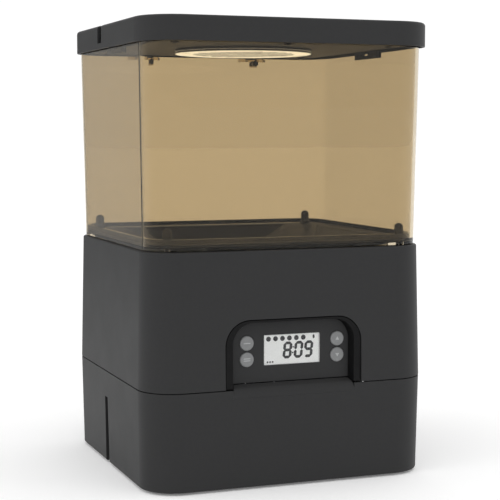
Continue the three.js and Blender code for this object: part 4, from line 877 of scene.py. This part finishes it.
def buildBay():
    low, high = boxOf("feeding_bay")
    wall = bay["wall"]
    outer = archBlock(low, high, bay["radius"])
    inner = archBlock((low.x + wall, low.y + wall, low.z - 2), (high.x - wall, high.y + 2, high.z - wall),
                      bay["innerRadius"])
    chute = block((-bay["chuteHalf"], bodyMiddle + bay["chuteFront"], high.z - wall - 1),
                  (bay["chuteHalf"], bodyMiddle + bay["chuteRear"], high.z + 1))
    made = buildPiece("feeding_alcove", outer, "body", "charcoal_plastic", cuts=[inner, chute],
                      edge=bay["edge"])
    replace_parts(made, "feeding_bay")


def buildBowl():
    low, high = boxOf("feeding_bowl")
    width, depth = high.x - low.x, high.y - low.y
    middle = middleOf("feeding_bowl")[1]
    t, wall = 2 * bowl["taper"], 2 * bowl["wall"]
    outer = leaningBlock(width - t, depth - t, width, depth, low.z, high.z, bowl["corner"], middle,
                         segments=bowl["segments"], bottomEdge=bowl["footEdge"], topEdge=bowl["rimEdge"])
    inner = leaningBlock(width - t - wall, depth - t - wall, width - wall, depth - wall, low.z + bowl["floor"],
                         high.z + 0.5, bowl["corner"] - bowl["wall"], middle, bottomEdge=bowl["innerEdge"])
    grip = archBlock((-bowl["gripHalf"], high.y - bowl["gripDepth"], bowl["gripLow"]),
                     (bowl["gripHalf"], high.y + 2, bowl["gripHigh"]), bowl["gripRadius"])
    made = buildPiece("bowl_outer", outer, "bowl", "black_plastic", cuts=[inner, grip], edge=bowl["edge"])
    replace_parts(made, "feeding_bowl")


def buildInsert():
    low, high = boxOf("bowl_insert")
    width, depth = high.x - low.x, high.y - low.y
    middle = middleOf("bowl_insert")[1]
    rimLow = high.z - insert["wall"]
    dishWidth, dishDepth = width - 2 * insert["rim"], depth - 2 * insert["rim"]
    t, wall = 2 * insert["taper"], 2 * insert["wall"]
    rim = roundedBlock(*centred(width, depth, rimLow, high.z, middle), insert["rimCorner"], 14, 0.5, 0.4)
    dish = leaningBlock(dishWidth - t, dishDepth - t, dishWidth, dishDepth, low.z, rimLow + 0.5,
                        insert["corner"], middle, bottomEdge=insert["footEdge"])
    inner = leaningBlock(dishWidth - t - wall, dishDepth - t - wall, dishWidth - wall, dishDepth - wall,
                         low.z + insert["wall"], high.z + 0.01, insert["innerCorner"], middle,
                         bottomEdge=insert["innerEdge"])
    made = buildPiece("insert_dish", rim, "insert", "steel", joins=[dish], cuts=[inner])
    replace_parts(made, "bowl_insert")


cover = {"radius": 53.7, "thick": 1.7, "ring": 47.5, "ringIn": 46, "steps": 96, "vents": 7, "pitch": 10,
         "ventWidth": 4.8, "ventRound": 2.0, "reach": 40, "turn": -0.7,
         "sag": 0.25, "midSag": 0.12, "midShare": 0.55, "rim": [(-3, 0), (-1.6, 0), (-0.6, 0.3), (-0.1, 0.9)]}


def buildCover():
    low, high = boxOf("desiccant_cover")
    y, r, steps = middleOf("desiccant_cover")[1], cover["radius"], cover["steps"]
    top = low.z + cover["thick"]
    disc = turned([(0, low.z + cover["sag"]), (r * cover["midShare"], low.z + cover["midSag"]),
                   *((r + dr, low.z + dz) for dr, dz in cover["rim"]),
                   (r, top - 0.1), (r - 0.1, top), (0, top)], (0, y, 0), steps)
    ring = turned([(0, top - 0.2), (cover["ring"], top - 0.2), (cover["ring"], high.z), (0, high.z)],
                  (0, y, 0), steps)
    bore = cylinder(cover["ringIn"], (0, y, top), (0, y, high.z + 2), steps)
    vents = []
    for i in range(-(cover["vents"] // 2), cover["vents"] // 2 + 1):
        across = i * cover["pitch"]
        half = math.sqrt(cover["reach"] ** 2 - across ** 2)
        slot = roundedBlock((-half, across - cover["ventWidth"] / 2, low.z - 2),
                            (half, across + cover["ventWidth"] / 2, top + 2), cover["ventRound"], 5)
        bmesh.ops.rotate(slot, cent=(0, 0, 0), matrix=Matrix.Rotation(cover["turn"], 3, "Z"), verts=slot.verts)
        bmesh.ops.translate(slot, vec=(0, y * mm, 0), verts=slot.verts)
        vents.append(slot)
    made = buildPiece("vented_cover", disc, "desiccant_cap", "pale_cover", joins=[ring], cuts=[bore, *vents])
    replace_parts(made, "desiccant_cover")


print("lid and tank")
buildLid()
buildCover()
buildTank()
buildHopper()
buildTankScrews()
print("housing and base")
buildHousing()
buildBase()
buildFeet()
print("display and buttons")
buildDisplay()
buildButtons()
print("feeding bay and bowl")
buildBay()
buildBowl()
buildInsert()
print("kept nodes")
replaced = {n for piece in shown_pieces() for n in piece.get("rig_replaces", [])}
fineNodes = ("lcd_window", "lcd_module", "lid_seal", "tank_seal", "drive_gear", "pinion", "hinge_pin_left",
             "hinge_pin_right", "portion_rotor", "outlet_shield")
for node, slot in slotOf.items():
    if node not in replaced:
        dressCadNode(node, slot, 0 if node in fineNodes else 0.3)
# the latches take the darkened plastic with its painted shade and painted edge highlights
for node in ("lid_latch_left", "lid_latch_right"):
    frame["nodes"][node].data.materials[0] = shadeDarkenedPlastic
frame["nodes"]["tank_seal"].data.materials[0] = glossRubber


studio = {"floorSize": 40.0, "floorDrop": 0.0002, "floorTone": 0.95, "floorGlow": 0.13, "worldStrength": 1.04,
          "cardSize": (1.35, 1.0, 1.6), "cardPlace": (-0.82, 1.4, 0.8), "cardTone": 0.38, "aim": (0, 0, 0.17),
          "lamps": [("key", (-1.6, -0.2, 0.9), 1.2, 4.5),  # metres and watts
                    ("fill", (1.3, -0.7, 1.1), 1.4, 1.5)]}
view = {"lens": 99.8, "sensor": 36, "place": (-0.3862, -1.0494, 0.2586), "down": 4.86, "turn": -20.84}


def grey(tone):
    return (tone, tone, tone, 1.0)


def buildStudio():
    bm = bmesh.new()
    bmesh.ops.create_grid(bm, x_segments=2, y_segments=2, size=studio["floorSize"] / 2)
    bmesh.ops.translate(bm, vec=(0, 0, -studio["floorDrop"]), verts=bm.verts)
    floor = makeObject("floor", bm)
    material, _, shader = newMaterial("paleFloor")
    shader.inputs["Base Color"].default_value = grey(studio["floorTone"])
    shader.inputs["Emission Color"].default_value = grey(1.0)
    shader.inputs["Emission Strength"].default_value = studio["floorGlow"]
    shader.inputs["Roughness"].default_value = 0.9
    shader.inputs["Specular IOR Level"].default_value = 0.1
    floor.data.materials.append(material)
    world = bpy.data.worlds.new("studioWorld")
    bpy.context.scene.world = world
    world.use_nodes = True
    background = world.node_tree.nodes["Background"]
    background.inputs["Color"].default_value = grey(1.0)
    background.inputs["Strength"].default_value = studio["worldStrength"]
    card = bmesh.new()
    bmesh.ops.create_grid(card, x_segments=1, y_segments=1, size=0.5)
    bmesh.ops.rotate(card, cent=(0, 0, 0), matrix=Matrix.Rotation(math.pi / 2, 3, "X"), verts=card.verts)
    bmesh.ops.scale(card, vec=studio["cardSize"], verts=card.verts)
    bmesh.ops.translate(card, vec=studio["cardPlace"], verts=card.verts)
    card = makeObject("greyCard", card)
    material, _, shader = newMaterial("greyCard")
    shader.inputs["Base Color"].default_value = grey(studio["cardTone"])
    shader.inputs["Roughness"].default_value = 1.0
    card.data.materials.append(material)
    card.visible_camera = False  # it only darkens reflections on the left
    for name, place, size, power in studio["lamps"]:
        light = bpy.data.lights.new(name, "AREA")
        light.energy = power
        light.size = size
        lamp = bpy.data.objects.new(name, light)
        lamp.location = place
        lamp.visible_glossy = False
        lamp.rotation_euler = (Vector(studio["aim"]) - Vector(place)).to_track_quat("-Z", "Y").to_euler()
        bpy.context.scene.collection.objects.link(lamp)


def buildCamera():
    data = bpy.data.cameras.new("camera")
    data.lens = view["lens"]
    data.sensor_width = view["sensor"]
    camera = bpy.data.objects.new("camera", data)
    camera.location = view["place"]
    camera.rotation_euler = (math.radians(90 - view["down"]), 0, math.radians(view["turn"]))
    bpy.context.scene.collection.objects.link(camera)
    bpy.context.scene.camera = camera


print("studio")
buildStudio()
buildCamera()
bpy.context.scene.view_settings.view_transform = "Standard"
